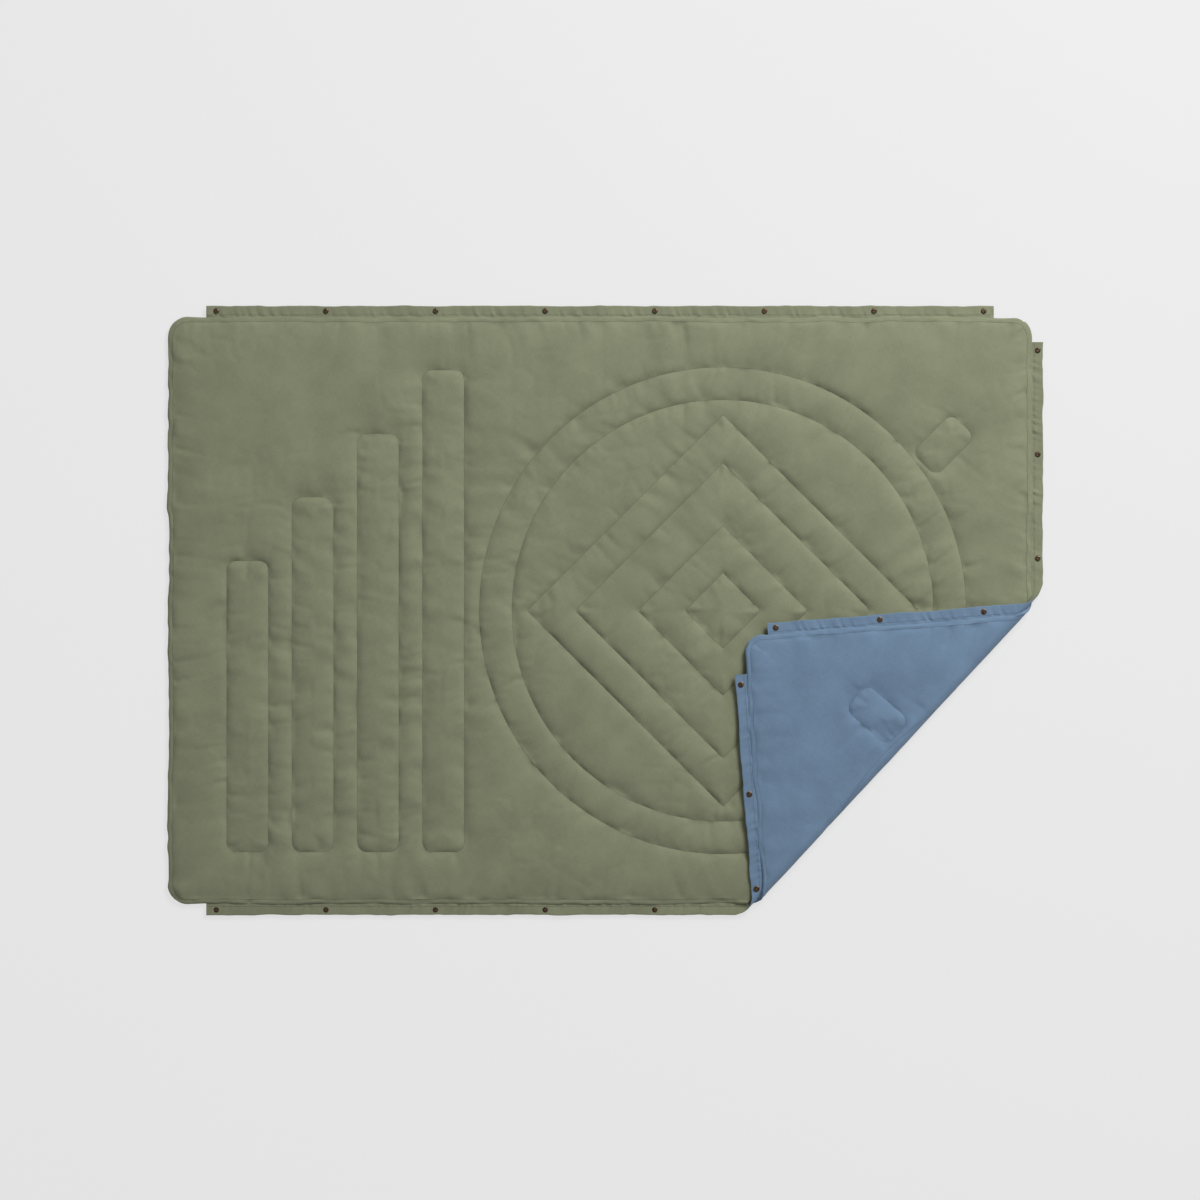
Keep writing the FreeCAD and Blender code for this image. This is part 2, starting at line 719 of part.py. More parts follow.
columns = []
for index in range(COLUMN_COUNT):
    drop = "@column_step * %d" % (COLUMN_COUNT - 1 - index)
    reach = "(@body_width - @column_foot_inset - @column_top_inset - %s)" % drop
    columns.append(
        oblong(
            "column_%d" % (index + 1),
            "@column_width",
            reach,
            "@quilt_rounding",
            "-@body_length / 2 + @column_end_inset + @column_pitch * %d" % index,
            "-@body_width / 2 + @column_foot_inset + %s / 2" % reach,
            TOP_LEVEL,
        )
    )
keep(compound("columns", columns), "base_column_stitching")

rings = [
    circle("outer_circle", RING_RADIUS),
    circle("inner_circle", "(%s - @ring_spacing)" % RING_RADIUS),
]
on_base(compound("circles", rings), "base_ring_stitching")

# The diamonds keep their proportions to the ring's inner circle.
DIAMOND_SCALE = "(%s - @ring_spacing) / @diamond_circle" % RING_RADIUS
diamonds = [
    diamond("diamond_" + place_name, "@diamond_%s * %s" % (place_name, DIAMOND_SCALE))
    for place_name in ("first", "second", "third", "fourth")
]
keep(compound("diamonds", diamonds), "base_diamond_stitching")

BAR_X = "@body_length / 2 - @bar_end_inset"
BAR_Y = "(@body_width / 2 - @bar_side_inset)"
bar_sizes = ("@bar_length", "@bar_width", "@quilt_rounding", BAR_X)
upper_bar = oblong("upper_bar", *bar_sizes, BAR_Y, TOP_LEVEL, QUARTER_DIAGONAL)
keep(upper_bar, "base_bar_stitching")
lower_bar = oblong(
    "lower_bar", *bar_sizes, "-" + BAR_Y, "-@thread_height", -QUARTER_DIAGONAL
)
on_corner(lower_bar, "corner_bar_stitching")

edge_sizes = (
    "(@body_length - 2 * @edge_stitch_inset)",
    "(@body_width - 2 * @edge_stitch_inset)",
    "(@corner_radius - @edge_stitch_inset)",
    "0",
    "0",
)
on_base(oblong("edge_row", *edge_sizes, TOP_LEVEL), "base_edge_stitching")
on_corner(
    oblong("edge_row_under", *edge_sizes, "-@thread_height"), "corner_edge_stitching"
)


def strip_row(name, x, y, z, length, lengthwise):
    """A straight row of thread along a strip, near its seam."""
    item = doc.addObject("Part::Box", name)
    sides = (length, "@thread_width") if lengthwise else ("@thread_width", length)
    bind(item, Length=sides[0], Width=sides[1], Height="@thread_height")
    place(item, x, y, z)
    return item


long_start = "-%s / 2" % LONG_STRIP
short_start = "-%s / 2" % SHORT_STRIP
long_row = (LONG_STRIP, True)
short_row = (SHORT_STRIP, False)
top_seam = "@body_width / 2 + @hinge_clearance + @strip_stitch_offset"
bottom_seam = "-@body_width / 2 - @strip_stitch_offset - @thread_width"
right_seam = "@body_length / 2 + @strip_stitch_offset"
under = "%s - @thread_height" % STRIP_LOW
top_thread = strip_row("top_thread", long_start, top_seam, STRIP_HIGH, *long_row)
keep(top_thread, "top_strip_stitching")
bottom_thread = strip_row("bottom_thread", long_start, bottom_seam, STRIP_HIGH, *long_row)
on_base(bottom_thread, "bottom_strip_stitching")
right_thread = strip_row("right_thread", right_seam, short_start, STRIP_HIGH, *short_row)
on_base(right_thread, "right_strip_stitching")
under_bottom = strip_row("under_bottom", long_start, bottom_seam, under, *long_row)
on_corner(under_bottom, "corner_bottom_strip_stitching")
under_right = strip_row("under_right", right_seam, short_start, under, *short_row)
on_corner(under_right, "corner_right_strip_stitching")

doc.recompute()
for item in doc.Objects:
    if {"Invalid", "Error"} & set(item.State):
        raise RuntimeError("%s failed: %s" % (item.Name, item.State))
for item in subparts:
    if item.Shape.isNull() or not item.Shape.isValid() or not item.Shape.Solids:
        raise RuntimeError("%s has no valid solid" % item.Label)

os.makedirs("parts", exist_ok=True)
for item in subparts:
    item.Shape.exportStep("parts/%s.step" % item.Label)
    bound = item.Shape.BoundBox
    print(
        "%-32s solids %2d  volume %12.1f  x %8.1f..%8.1f  y %8.1f..%8.1f  z %6.2f..%6.2f"
        % (
            item.Label,
            len(item.Shape.Solids),
            item.Shape.Volume,
            bound.XMin,
            bound.XMax,
            bound.YMin,
            bound.YMax,
            bound.ZMin,
            bound.ZMax,
        )
    )
hinge_out = math.pi / 4 * turn_radius
hinge_spot = outward * (fold_reach + hinge_out)
print("fold hinge at", hinge_spot, "low", turn_radius - hinge_out, "high", turn_radius + hinge_out)
print("fold hinge axis", along_fold, "sub-parts", len(subparts))
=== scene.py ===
import json
import logging
import math
from collections.abc import Callable, Iterable, Sequence
from dataclasses import dataclass, field, replace
from enum import Enum

import bmesh
import bpy
import numpy as np
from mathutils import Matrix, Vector


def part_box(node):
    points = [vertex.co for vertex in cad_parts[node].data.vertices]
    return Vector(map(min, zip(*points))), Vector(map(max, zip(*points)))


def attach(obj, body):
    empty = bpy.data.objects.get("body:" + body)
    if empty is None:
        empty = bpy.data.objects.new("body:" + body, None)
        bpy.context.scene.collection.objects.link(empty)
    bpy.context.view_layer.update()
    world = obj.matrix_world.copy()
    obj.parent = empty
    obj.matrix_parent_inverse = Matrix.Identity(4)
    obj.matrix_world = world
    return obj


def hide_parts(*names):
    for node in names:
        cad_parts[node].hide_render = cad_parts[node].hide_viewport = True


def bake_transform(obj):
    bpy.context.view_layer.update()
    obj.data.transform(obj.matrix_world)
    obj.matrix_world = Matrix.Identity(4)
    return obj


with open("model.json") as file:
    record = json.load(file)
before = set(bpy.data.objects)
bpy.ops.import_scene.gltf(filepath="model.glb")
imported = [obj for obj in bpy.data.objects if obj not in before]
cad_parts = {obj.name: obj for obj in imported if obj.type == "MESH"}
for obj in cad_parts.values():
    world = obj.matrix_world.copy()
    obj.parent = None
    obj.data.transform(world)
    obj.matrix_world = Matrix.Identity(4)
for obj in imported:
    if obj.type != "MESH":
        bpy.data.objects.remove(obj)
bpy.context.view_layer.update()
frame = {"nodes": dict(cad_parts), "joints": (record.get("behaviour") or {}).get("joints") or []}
LOG = logging.getLogger("camp_blanket")
Array = np.ndarray

# Metres, and square metres for the smallest face that is kept.
CORNER_ROUNDING = 0.050
STRIP_SEAM_INSET = 0.0036
STRIP_SEAM_END = 0.002
SNAP_GAP = 0.02
ROW_STEP = 0.02
ON_ROW = 0.0002
SLIVER = 1e-7


class Side(Enum):
    """The two faces of the blanket."""

    GREEN = "green"
    BLUE = "blue"


class Part(Enum):
    """The rigid bodies that the cloth crosses, in order."""

    BLANKET = "blanket"
    TURN = "fold_turn"
    CORNER = "corner"
    LOOSE_STRIP = "top_strip"


def smooth_step(values: Array, low: float, high: float) -> Array:
    """Rise from 0 at low to 1 at high.

    Args:
        values: The numbers to shape.
        low: Where the rise starts.
        high: Where it ends.

    Returns:
        The shaped numbers.
    """
    share = np.clip((values - low) / (high - low), 0.0, 1.0)
    return share * share * (3.0 - 2.0 * share)


@dataclass(frozen=True)
class SoftNoise:
    """Smooth random waves, the same on every run."""

    seed: int
    size: int = 512

    def _lattice(self) -> Array:
        """Random values from -1 to 1 on a square lattice."""
        return np.random.default_rng(self.seed).uniform(-1.0, 1.0, (self.size, self.size))

    def plane(self, spots: Array, wavelength: float) -> Array:
        """Waves over a plane.

        Args:
            spots: Flat places, one row each.
            wavelength: Metres from one lattice point to the next.

        Returns:
            A value from about -1 to 1 for each place.
        """
        lattice = self._lattice()
        scaled = np.asarray(spots)[:, :2] / wavelength + self.size / 2
        cell = np.floor(scaled).astype(int)
        share = scaled - cell
        share = share**3 * (share * (share * 6.0 - 15.0) + 10.0)
        low, high = cell % self.size, (cell + 1) % self.size
        bottom = lattice[low[:, 0], low[:, 1]] * (1 - share[:, 0])
        bottom = bottom + lattice[high[:, 0], low[:, 1]] * share[:, 0]
        top = lattice[low[:, 0], high[:, 1]] * (1 - share[:, 0])
        top = top + lattice[high[:, 0], high[:, 1]] * share[:, 0]
        return bottom * (1 - share[:, 1]) + top * share[:, 1]

    def along(self, distance: Array, wavelength: float, row: float | Array = 0.0) -> Array:
        """Waves along a line.

        Args:
            distance: Places along the line, in metres.
            wavelength: Metres from one lattice point to the next.
            row: Picks another line of waves, for all places or for each.

        Returns:
            A value from about -1 to 1 for each place.
        """
        rows = np.zeros_like(distance) + row * wavelength
        spots = np.stack([distance, rows], axis=1)
        return self.plane(spots, wavelength)


@dataclass(frozen=True)
class Fold:
    """The fold line, and the round turn that the cloth takes at it."""

    reach: float
    radius: float
    outward: Array
    along: Array

    @classmethod
    def from_frame(cls) -> "Fold":
        """Read the fold from the two hinges of its turn.

        Returns:
            The fold in the frame's metres.
        """
        joints = {joint["name"]: joint for joint in frame["joints"]}
        low, high = joints["fold_low"], joints["fold_high"]
        along = np.array(low["axis"][:2], float)
        along /= np.linalg.norm(along)
        outward = np.array([along[1], -along[0]])
        radius = (low["pos_m"][2] + high["pos_m"][2]) / 2
        hinge = float(np.array(low["pos_m"][:2]) @ outward)
        return cls(hinge - math.pi / 4 * radius, radius, outward, along)

    @property
    def cloth(self) -> float:
        """Length of cloth that the turn takes up."""
        return math.pi * self.radius

    def distance(self, spots: Array) -> Array:
        """How far past the fold line flat places lie."""
        return spots[:, :2] @ self.outward - self.reach

    def place(self, points: Array) -> Array:
        """Carry flat points over the fold.

        Args:
            points: Flat places with their height above the floor.

        Returns:
            The same points on the folded blanket.
        """
        past = self.distance(points)
        inside = np.clip(past, 0.0, self.cloth)
        angle = inside / self.radius
        arm = self.radius - points[:, 2]
        back = np.maximum(past, 0.0) + np.maximum(past - self.cloth, 0.0)
        shift = arm * np.sin(angle) * (past > 0.0) - back
        placed = points.copy()
        placed[:, :2] += shift[:, None] * self.outward
        placed[:, 2] = self.radius - arm * np.cos(angle)
        return placed

    def under_flap(self, spots: Array) -> Array:
        """Where flat places of the blanket's top would be on the flap over them."""
        back = -self.distance(spots)
        return spots[:, :2] + (2.0 * back + self.cloth)[:, None] * self.outward


@dataclass(frozen=True)
class Outline:
    """The rounded rectangle that the shell and the lining are cut to."""

    length: float
    width: float
    rounding: float

    def depth(self, spots: Array) -> Array:
        """Distance from the edge, positive inside.

        Args:
            spots: Flat places.

        Returns:
            A distance for each place.
        """
        half = np.array([self.length / 2, self.width / 2]) - self.rounding
        reach = np.abs(spots[:, :2]) - half
        outside = np.linalg.norm(np.maximum(reach, 0.0), axis=1)
        inside = np.minimum(reach.max(axis=1), 0.0)
        return self.rounding - outside - inside

    def fit(self, spots: Array) -> Array:
        """Round the corners of a rectangular grid.

        Args:
            spots: Places of the square-cornered grid.

        Returns:
            The places with each corner square drawn in to a quarter disc.
        """
        half = np.array([self.length / 2, self.width / 2]) - self.rounding
        sign = np.sign(spots)
        reach = np.maximum(np.abs(spots) - half, 0.0)
        longest = reach.max(axis=1)
        span = np.maximum(np.linalg.norm(reach, axis=1), 1e-12)
        share = np.where(reach.min(axis=1) > 0.0, longest / span, 1.0)
        base = np.minimum(np.abs(spots), half)
        return sign * (base + reach * share[:, None])

    def steps(self, span: float, pitch: float, finer: Sequence[float]) -> Array:
        """Grid lines across one side, closer together near its two edges.

        Args:
            span: Length of the side.
            pitch: Distance between lines in the middle.
            finer: Distances of the first lines from each edge.

        Returns:
            The lines, from the middle of the side.
        """
        ends = np.array(finer)
        count = max(2, round((span - 2 * ends[-1]) / pitch))
        middle = np.linspace(ends[-1], span - ends[-1], count + 1)
        rows = np.concatenate([ends[:-1], middle, span - ends[:-1][::-1]])
        return rows - span / 2


@dataclass(frozen=True)
class Seam:
    """One row of stitching, drawn on the flat cloth."""

    points: Array
    seed: int
    tightness: float = 1.0

    @classmethod
    def loop(cls, points: Array, seed: int) -> "Seam":
        """A row that closes on itself."""
        return cls(np.vstack([points, points[:1]]), seed)

    @classmethod
    def circle(cls, centre: Array, radius: float, seed: int) -> "Seam":
        """A round row.

        Args:
            centre: Its middle.
            radius: Its radius.
            seed: Picks its waves.

        Returns:
            The seam.
        """
        angles = np.linspace(0.0, 2 * math.pi, 120, endpoint=False)
        points = centre + radius * np.stack([np.cos(angles), np.sin(angles)], axis=1)
        return cls.loop(points, seed)

    @classmethod
    def oblong(
        cls, centre: Array, half: Array, rounding: float, turn: float, seed: int
    ) -> "Seam":
        """A row round a rounded oblong.

        Args:
            centre: Its middle.
            half: Half its length and half its width.
            rounding: Radius of its corners.
            turn: Its angle from X, in radians.
            seed: Picks its waves.

        Returns:
            The seam.
        """
        points = []
        for quarter, (side_x, side_y) in enumerate(((1, 1), (-1, 1), (-1, -1), (1, -1))):
            corner = np.array([side_x, side_y]) * (half - rounding)
            for angle in np.linspace(0.0, math.pi / 2, 7) + quarter * math.pi / 2:
                points.append(corner + rounding * np.array([math.cos(angle), math.sin(angle)]))
        cosine, sine = math.cos(turn), math.sin(turn)
        spin = np.array([[cosine, -sine], [sine, cosine]])
        return cls.loop(centre + np.array(points) @ spin.T, seed)

    @property
    def runs(self) -> Array:
        """The straight runs from point to point."""
        return np.diff(self.points, axis=0)

    @property
    def marks(self) -> Array:
        """Distance along the row at each point."""
        return np.concatenate([[0.0], np.cumsum(np.linalg.norm(self.runs, axis=1))])

    def nearest(self, spots: Array, reach: float) -> tuple[Array, Array, Array]:
        """Find the places near this row.

        Args:
            spots: Flat places.
            reach: How far from the row to look.

        Returns:
            The indices of the places in reach, their distance from the row,
            positive on its left, and how far along it they are.
        """
        low, high = self.points.min(axis=0) - reach, self.points.max(axis=0) + reach
        inside = np.all((spots[:, :2] > low) & (spots[:, :2] < high), axis=1)
        picked = np.nonzero(inside)[0]
        starts, runs = self.points[:-1], self.runs
        lengths = np.maximum((runs**2).sum(axis=1), 1e-18)
        marks, sizes = self.marks[:-1], np.sqrt(lengths)
        gaps, places = np.empty(len(picked)), np.empty(len(picked))
        for first in range(0, len(picked), 8192):
            some = picked[first : first + 8192]
            offset = spots[some, None, :2] - starts[None]
            share = np.clip((offset * runs[None]).sum(axis=2) / lengths, 0.0, 1.0)
            gap = np.linalg.norm(offset - share[..., None] * runs[None], axis=2)
            best = gap.argmin(axis=1)
            rows = np.arange(len(some))
            beside = offset[rows, best]
            left = runs[best, 0] * beside[:, 1] - runs[best, 1] * beside[:, 0] >= 0.0
            gaps[first : first + len(some)] = gap[rows, best] * np.where(left, 1.0, -1.0)
            places[first : first + len(some)] = marks[best] + share[rows, best] * sizes[best]
        close = np.abs(gaps) < reach
        return picked[close], gaps[close], places[close]

    def at(self, places: Array) -> Array:
        """The spots at given distances along the row."""
        marks = self.marks
        return np.stack([np.interp(places, marks, self.points[:, i]) for i in (0, 1)], axis=1)

    def walk(self, pitch: float) -> tuple[Array, Array]:
        """Even steps along the row.

        Args:
            pitch: Length of a step.

        Returns:
            The middle of each step and its direction.
        """
        marks = self.marks
        count = max(1, int(marks[-1] / pitch))
        middles = (np.arange(count) + 0.5) * marks[-1] / count
        spots = self.at(middles)
        run = np.clip(np.searchsorted(marks, middles) - 1, 0, len(marks) - 2)
        headings = self.runs[run]
        return spots, headings / np.linalg.norm(headings, axis=1, keepdims=True)


@dataclass
class QuiltPattern:
    """Where the rows of stitching run, from the CAD stitching's boxes."""

    thread: float = 0.0012
    rounding: float = 0.022
    column_count: int = 4
    column_width: float = 0.097
    column_step: float = 0.148
    ring_spacing: float = 0.076
    diamond_shares: tuple[float, ...] = (1.0, 0.7544, 0.4342, 0.193)
    bar_half: tuple[float, float] = (0.065, 0.0395)
    edge_inset: float = 0.012
    edge_tightness: float = 0.5
    columns: list[Seam] = field(default_factory=list)
    rings: list[Seam] = field(default_factory=list)
    diamonds: list[Seam] = field(default_factory=list)
    bars: list[Seam] = field(default_factory=list)
    edge: list[Seam] = field(default_factory=list)

    def lay_out(self, outline: Outline) -> None:
        """Draw every row.

        Args:
            outline: The blanket's outline, for the row along its edge.
        """
        inset = self.thread / 2
        low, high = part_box("base_column_stitching")
        left = low[0] + inset + self.column_width / 2
        right = high[0] - inset - self.column_width / 2
        for index in range(self.column_count):
            share = index / (self.column_count - 1)
            foot = low[1] + inset
            top = high[1] - inset - self.column_step * (self.column_count - 1 - index)
            centre = np.array([left + (right - left) * share, (foot + top) / 2])
            half = np.array([self.column_width / 2, (top - foot) / 2])
            self.columns.append(Seam.oblong(centre, half, self.rounding, 0.0, 11 + index))
        low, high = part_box("base_ring_stitching")
        radius = high[1] - inset
        middle = np.array([low[0] + inset + radius, 0.0])
        self.rings.append(Seam.circle(middle, radius, 21))
        self.rings.append(Seam.circle(middle, radius - self.ring_spacing, 22))
        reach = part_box("base_diamond_stitching")[1][1] - self.thread / math.sqrt(2)
        for index, share in enumerate(self.diamond_shares):
            size = reach * share
            corners = middle + size * np.array([[1, 0], [0, 1], [-1, 0], [0, -1]])
            self.diamonds.append(Seam.loop(corners, 31 + index))
        low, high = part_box("base_bar_stitching")
        spot = np.array([(low[0] + high[0]) / 2, (low[1] + high[1]) / 2])
        for index, side in enumerate((1.0, -1.0)):
            centre = spot * np.array([1.0, side])
            turn = side * math.pi / 4
            half = np.array(self.bar_half)
            self.bars.append(Seam.oblong(centre, half, self.rounding, turn, 41 + index))
        half = np.array([outline.length / 2, outline.width / 2]) - self.edge_inset
        rounding = outline.rounding - self.edge_inset
        along_edge = Seam.oblong(np.zeros(2), half, rounding, 0.0, 51)
        self.edge.append(replace(along_edge, tightness=self.edge_tightness))

    @property
    def every_row(self) -> list[Seam]:
        """Every row, the one along the edge included."""
        return self.quilting + self.edge

    @property
    def quilting(self) -> list[Seam]:
        """Every row that goes through the fill."""
        return self.columns + self.rings + self.diamonds + self.bars


@dataclass
class Loft:
    """How high the cloth stands over the fill, seams and puckers included."""

    outline: Outline
    pattern: QuiltPattern
    fold: Fold
    height: float
    edge_curve: float = 0.024
    turn_curve: float = 0.005
    seam_floor: float = 0.22
    close_rise: float = 0.0078
    wide_rise: float = 0.05
    pucker_reach: float = 0.11
    pucker_start: float = 0.0045
    fine_pucker: float = 0.0030
    fine_spacing: float = 0.0125
    fine_reach: float = 0.015
    broad_pucker: float = 0.0030
    broad_spacing: float = 0.03
    broad_reach: float = 0.04
    crease: float = 0.0068
    crease_spacing: float = 0.042
    crease_width: float = 0.26
    crease_reach: float = 0.034
    crease_reach_change: float = 0.020
    crinkle: float = 0.0011
    swell: float = 0.24
    swell_spacing: float = 0.17
    finer_swell_spacing: float = 0.075
    mark_place: float = 0.007
    mark_depth: float = 0.0007
    mark_width: float = 0.0045
    cloth_share: float = 0.6
    sewn_reach: float = 0.005
    cloth: "ClothField | None" = None
    flap_room: float = 0.0184
    open_room: float = 0.008
    softening: float = 0.0012
    sway_reach: float = 0.03
    fine_sway: float = 0.0016
    broad_sway: float = 0.0022
    draw_in: float = 0.0015

    def _puckers(self, seam: Seam, distance: Array, place: Array) -> Array:
        """Creases and small waves that run off a row of stitching.

        Args:
            seam: The row.
            distance: Signed distance from it.
            place: Distance along it.

        Returns:
            A height to add at each place.
        """
        noise = SoftNoise(seam.seed)
        away = np.abs(distance)
        side = np.where(distance > 0.0, 20.0, 0.0)
        skew = place + 0.45 * away * noise.along(place, 0.15, 7.0 + side)
        fine = noise.along(skew, self.fine_spacing, 1.0 + side) * np.exp(-away / self.fine_reach)
        fine = fine * (0.5 + 0.5 * noise.along(place, 0.08, 5.0))
        broad = noise.along(skew, self.broad_spacing, 11.0 + side)
        broad = broad * np.exp(-away / self.broad_reach)
        change = self.crease_reach_change * noise.along(place, 0.10, 9.0 + side)
        pull = np.clip(0.4 + noise.along(place, 0.055, 13.0 + side), 0.0, 1.0)
        line = np.abs(noise.along(skew, self.crease_spacing, 3.0 + side))
        line = np.exp(-line / self.crease_width)
        crease = -line * pull * np.exp(-away / (self.crease_reach + change))
        height = self.fine_pucker * fine + self.broad_pucker * broad + self.crease * crease
        return height * (1.0 - np.exp(-away / self.pucker_start))

    def _seam_relief(self, spots: Array) -> tuple[Array, Array, Array]:
        """The dip and the puckers that the rows of stitching make.

        Args:
            spots: Flat places.

        Returns:
            A share of the full loft, a height to add for the puckers and the
            distance from the nearest row.
        """
        gap = np.full(len(spots), 1.0)
        share = np.ones(len(spots))
        puckers = np.zeros(len(spots))
        for seam in self.pattern.every_row:
            picked, distance, place = seam.nearest(spots, self.pucker_reach)
            away = np.abs(distance)
            gap[picked] = np.minimum(gap[picked], away)
            dip = 0.62 * (1.0 - np.exp(-away / self.close_rise))
            dip += 0.38 * (1.0 - np.exp(-away / self.wide_rise))
            floor = 1.0 - seam.tightness * (1.0 - self.seam_floor)
            share[picked] = np.minimum(share[picked], floor + (1.0 - floor) * dip)
            puckers[picked] += self._puckers(seam, distance, place)
        return share, puckers, gap

    def _settled(self, spots: Array, gap: Array) -> Array:
        """Extra height from the cloth simulation.

        Args:
            spots: Flat places.
            gap: Their distance from the nearest row of stitching.

        Returns:
            A height to add, nothing on the rows themselves.
        """
        if self.cloth is None:
            return np.zeros(len(spots))
        return self.cloth_share * self.cloth.height(spots) * (1.0 - np.exp(-gap / self.sewn_reach))

    def _crinkles(self, spots: Array) -> Array:
        """Fine creases of the thin cloth, in patches all over.

        Args:
            spots: Flat places.

        Returns:
            A height to add, below zero.
        """
        bend = [SoftNoise(60).plane(spots, 0.09), SoftNoise(61).plane(spots, 0.07)]
        turned = spots[:, :2] + 0.018 * np.stack(bend, axis=1)
        wide = np.exp(-((SoftNoise(62).plane(turned, 0.044) / 0.26) ** 2))
        narrow = np.exp(-((SoftNoise(63).plane(turned, 0.026) / 0.34) ** 2))
        patches = np.clip(0.45 + 0.9 * SoftNoise(64).plane(spots, 0.16), 0.1, 1.0)
        return -self.crinkle * patches * (wide + 0.5 * narrow)

    def _calm(self, spots: Array) -> Array:
        """Rise to 1 where the cloth goes round the turn of the fold.

        Args:
            spots: Flat places.

        Returns:
            A share for each place.
        """
        past = self.fold.distance(spots)
        return smooth_step(past, -0.016, -0.001) * (
            1.0 - smooth_step(past, self.fold.cloth + 0.001, self.fold.cloth + 0.016)
        )

    def _edge_share(self, spots: Array) -> Array:
        """Share of the loft near the outline, where the edge rounds down.

        Args:
            spots: Flat places.

        Returns:
            A share, which is whole in the turn, where the end walls close the edge.
        """
        past = self.fold.distance(spots)
        away = np.maximum(-past, past - self.fold.cloth)
        wider = (self.edge_curve - self.turn_curve) * smooth_step(away, 0.0, 0.06)
        curve = self.turn_curve + wider
        depth = np.clip(self.outline.depth(spots) / curve, 0.0, 1.0)
        share = np.sqrt(np.maximum(1.0 - (1.0 - depth) ** 2, 0.0))
        return np.where(away < -1e-5, 1.0, share)

    def _swells(self, spots: Array, seed: int) -> Array:
        """Broad soft rises and hollows of the fill.

        Args:
            spots: Flat places.
            seed: Picks the waves.

        Returns:
            A value from about -1 to 1 for each place.
        """
        broad = SoftNoise(seed).plane(spots, self.swell_spacing)
        finer = SoftNoise(seed + 1).plane(spots, self.finer_swell_spacing)
        return 0.65 * broad + 0.35 * finer

    def top(self, spots: Array) -> Array:
        """Height of the green shell over flat places.

        Args:
            spots: Flat places.

        Returns:
            The height of each.
        """
        share, puckers, gap = self._seam_relief(spots)
        edge = self._edge_share(spots)
        live = 1.0 - self._calm(spots)
        share, puckers = 1.0 - live * (1.0 - share), puckers * live
        swell = 1.0 + live * self.swell * self._swells(spots, 71)
        half = self.height / 2
        rise = half + half * edge * share * swell + puckers * edge
        rise = rise + (self._settled(spots, gap) + self._crinkles(spots)) * edge * live
        stray = 0.003 * SoftNoise(95).along(spots[:, 1], 0.2)
        near_mark = np.exp(-(((spots[:, 0] - self.mark_place - stray) / self.mark_width) ** 2))
        depth = self.mark_depth * near_mark
        rise = rise - depth * (0.6 + 0.4 * SoftNoise(96).along(spots[:, 1], 0.1))
        past = self.fold.distance(spots)
        over = self.outline.depth(self.fold.under_flap(spots))
        covered = smooth_step(over, -0.05, 0.0) * (past < 0.0)
        covered = np.maximum(covered, smooth_step(past, -0.02, 0.0))
        limit = self.flap_room + (1.0 - covered) * self.open_room
        over_limit = np.maximum(rise - limit + self.softening, 0.0)
        return rise - over_limit**2 / (over_limit + 2.0 * self.softening)

    def bottom(self, spots: Array) -> Array:
        """Height of the blue lining over flat places.

        Args:
            spots: Flat places.

        Returns:
            The height of each.
        """
        share, puckers, gap = self._seam_relief(spots)
        edge = self._edge_share(spots)
        past = self.fold.distance(spots)
        free = smooth_step(past, 0.0, 0.03)
        drag = SoftNoise(83).plane(spots @ np.array([[1.0, 0.3], [-0.9, 0.28]]), 0.055)
        swell = 1.0 - free * self.swell * (0.6 + 0.4 * self._swells(spots, 81) + 0.7 * drag)
        share = np.where(past < 0.0, 0.5 + 0.5 * share, share)
        live = 1.0 - 0.8 * self._calm(spots)
        share, puckers = 1.0 - live * (1.0 - share), puckers * live
        swell = 1.0 - live * (1.0 - swell)
        half = self.height / 2
        drop = half * edge * share * swell + puckers * edge * (0.35 + 0.65 * free)
        extra = 0.3 * self._settled(spots, gap) + 0.5 * self._crinkles(spots)
        drop = drop + extra * edge * free * live
        return np.maximum(half - drop, 0.0)

    def sway(self, spots: Array) -> Array:
        """Small sideways waves of the sewn edge, for whole places.

        Args:
            spots: Flat places.

        Returns:
            How far each place moves, in X and Y.
        """
        near = np.exp(-np.maximum(self.outline.depth(spots), 0.0) / self.sway_reach)
        half = np.array([self.outline.length, self.outline.width]) / 2
        reach = np.abs(spots[:, :2]) / half
        sideways = reach[:, 0] > reach[:, 1]
        place = np.where(sideways, spots[:, 1], spots[:, 0] + 5.0)
        noise = SoftNoise(91)
        wave = self.fine_sway * noise.along(place, 0.024, 1.0)
        wave = wave + self.broad_sway * noise.along(place, 0.085, 2.0)
        wave = wave - self.draw_in
        moved = np.zeros((len(spots), 2))
        toward = np.sign(spots[:, :2])
        moved[:, 0] = np.where(sideways, wave * toward[:, 0], 0.0)
        moved[:, 1] = np.where(sideways, 0.0, wave * toward[:, 1])
        return moved * near[:, None]


# Finishes --------------------------------------------------------------------


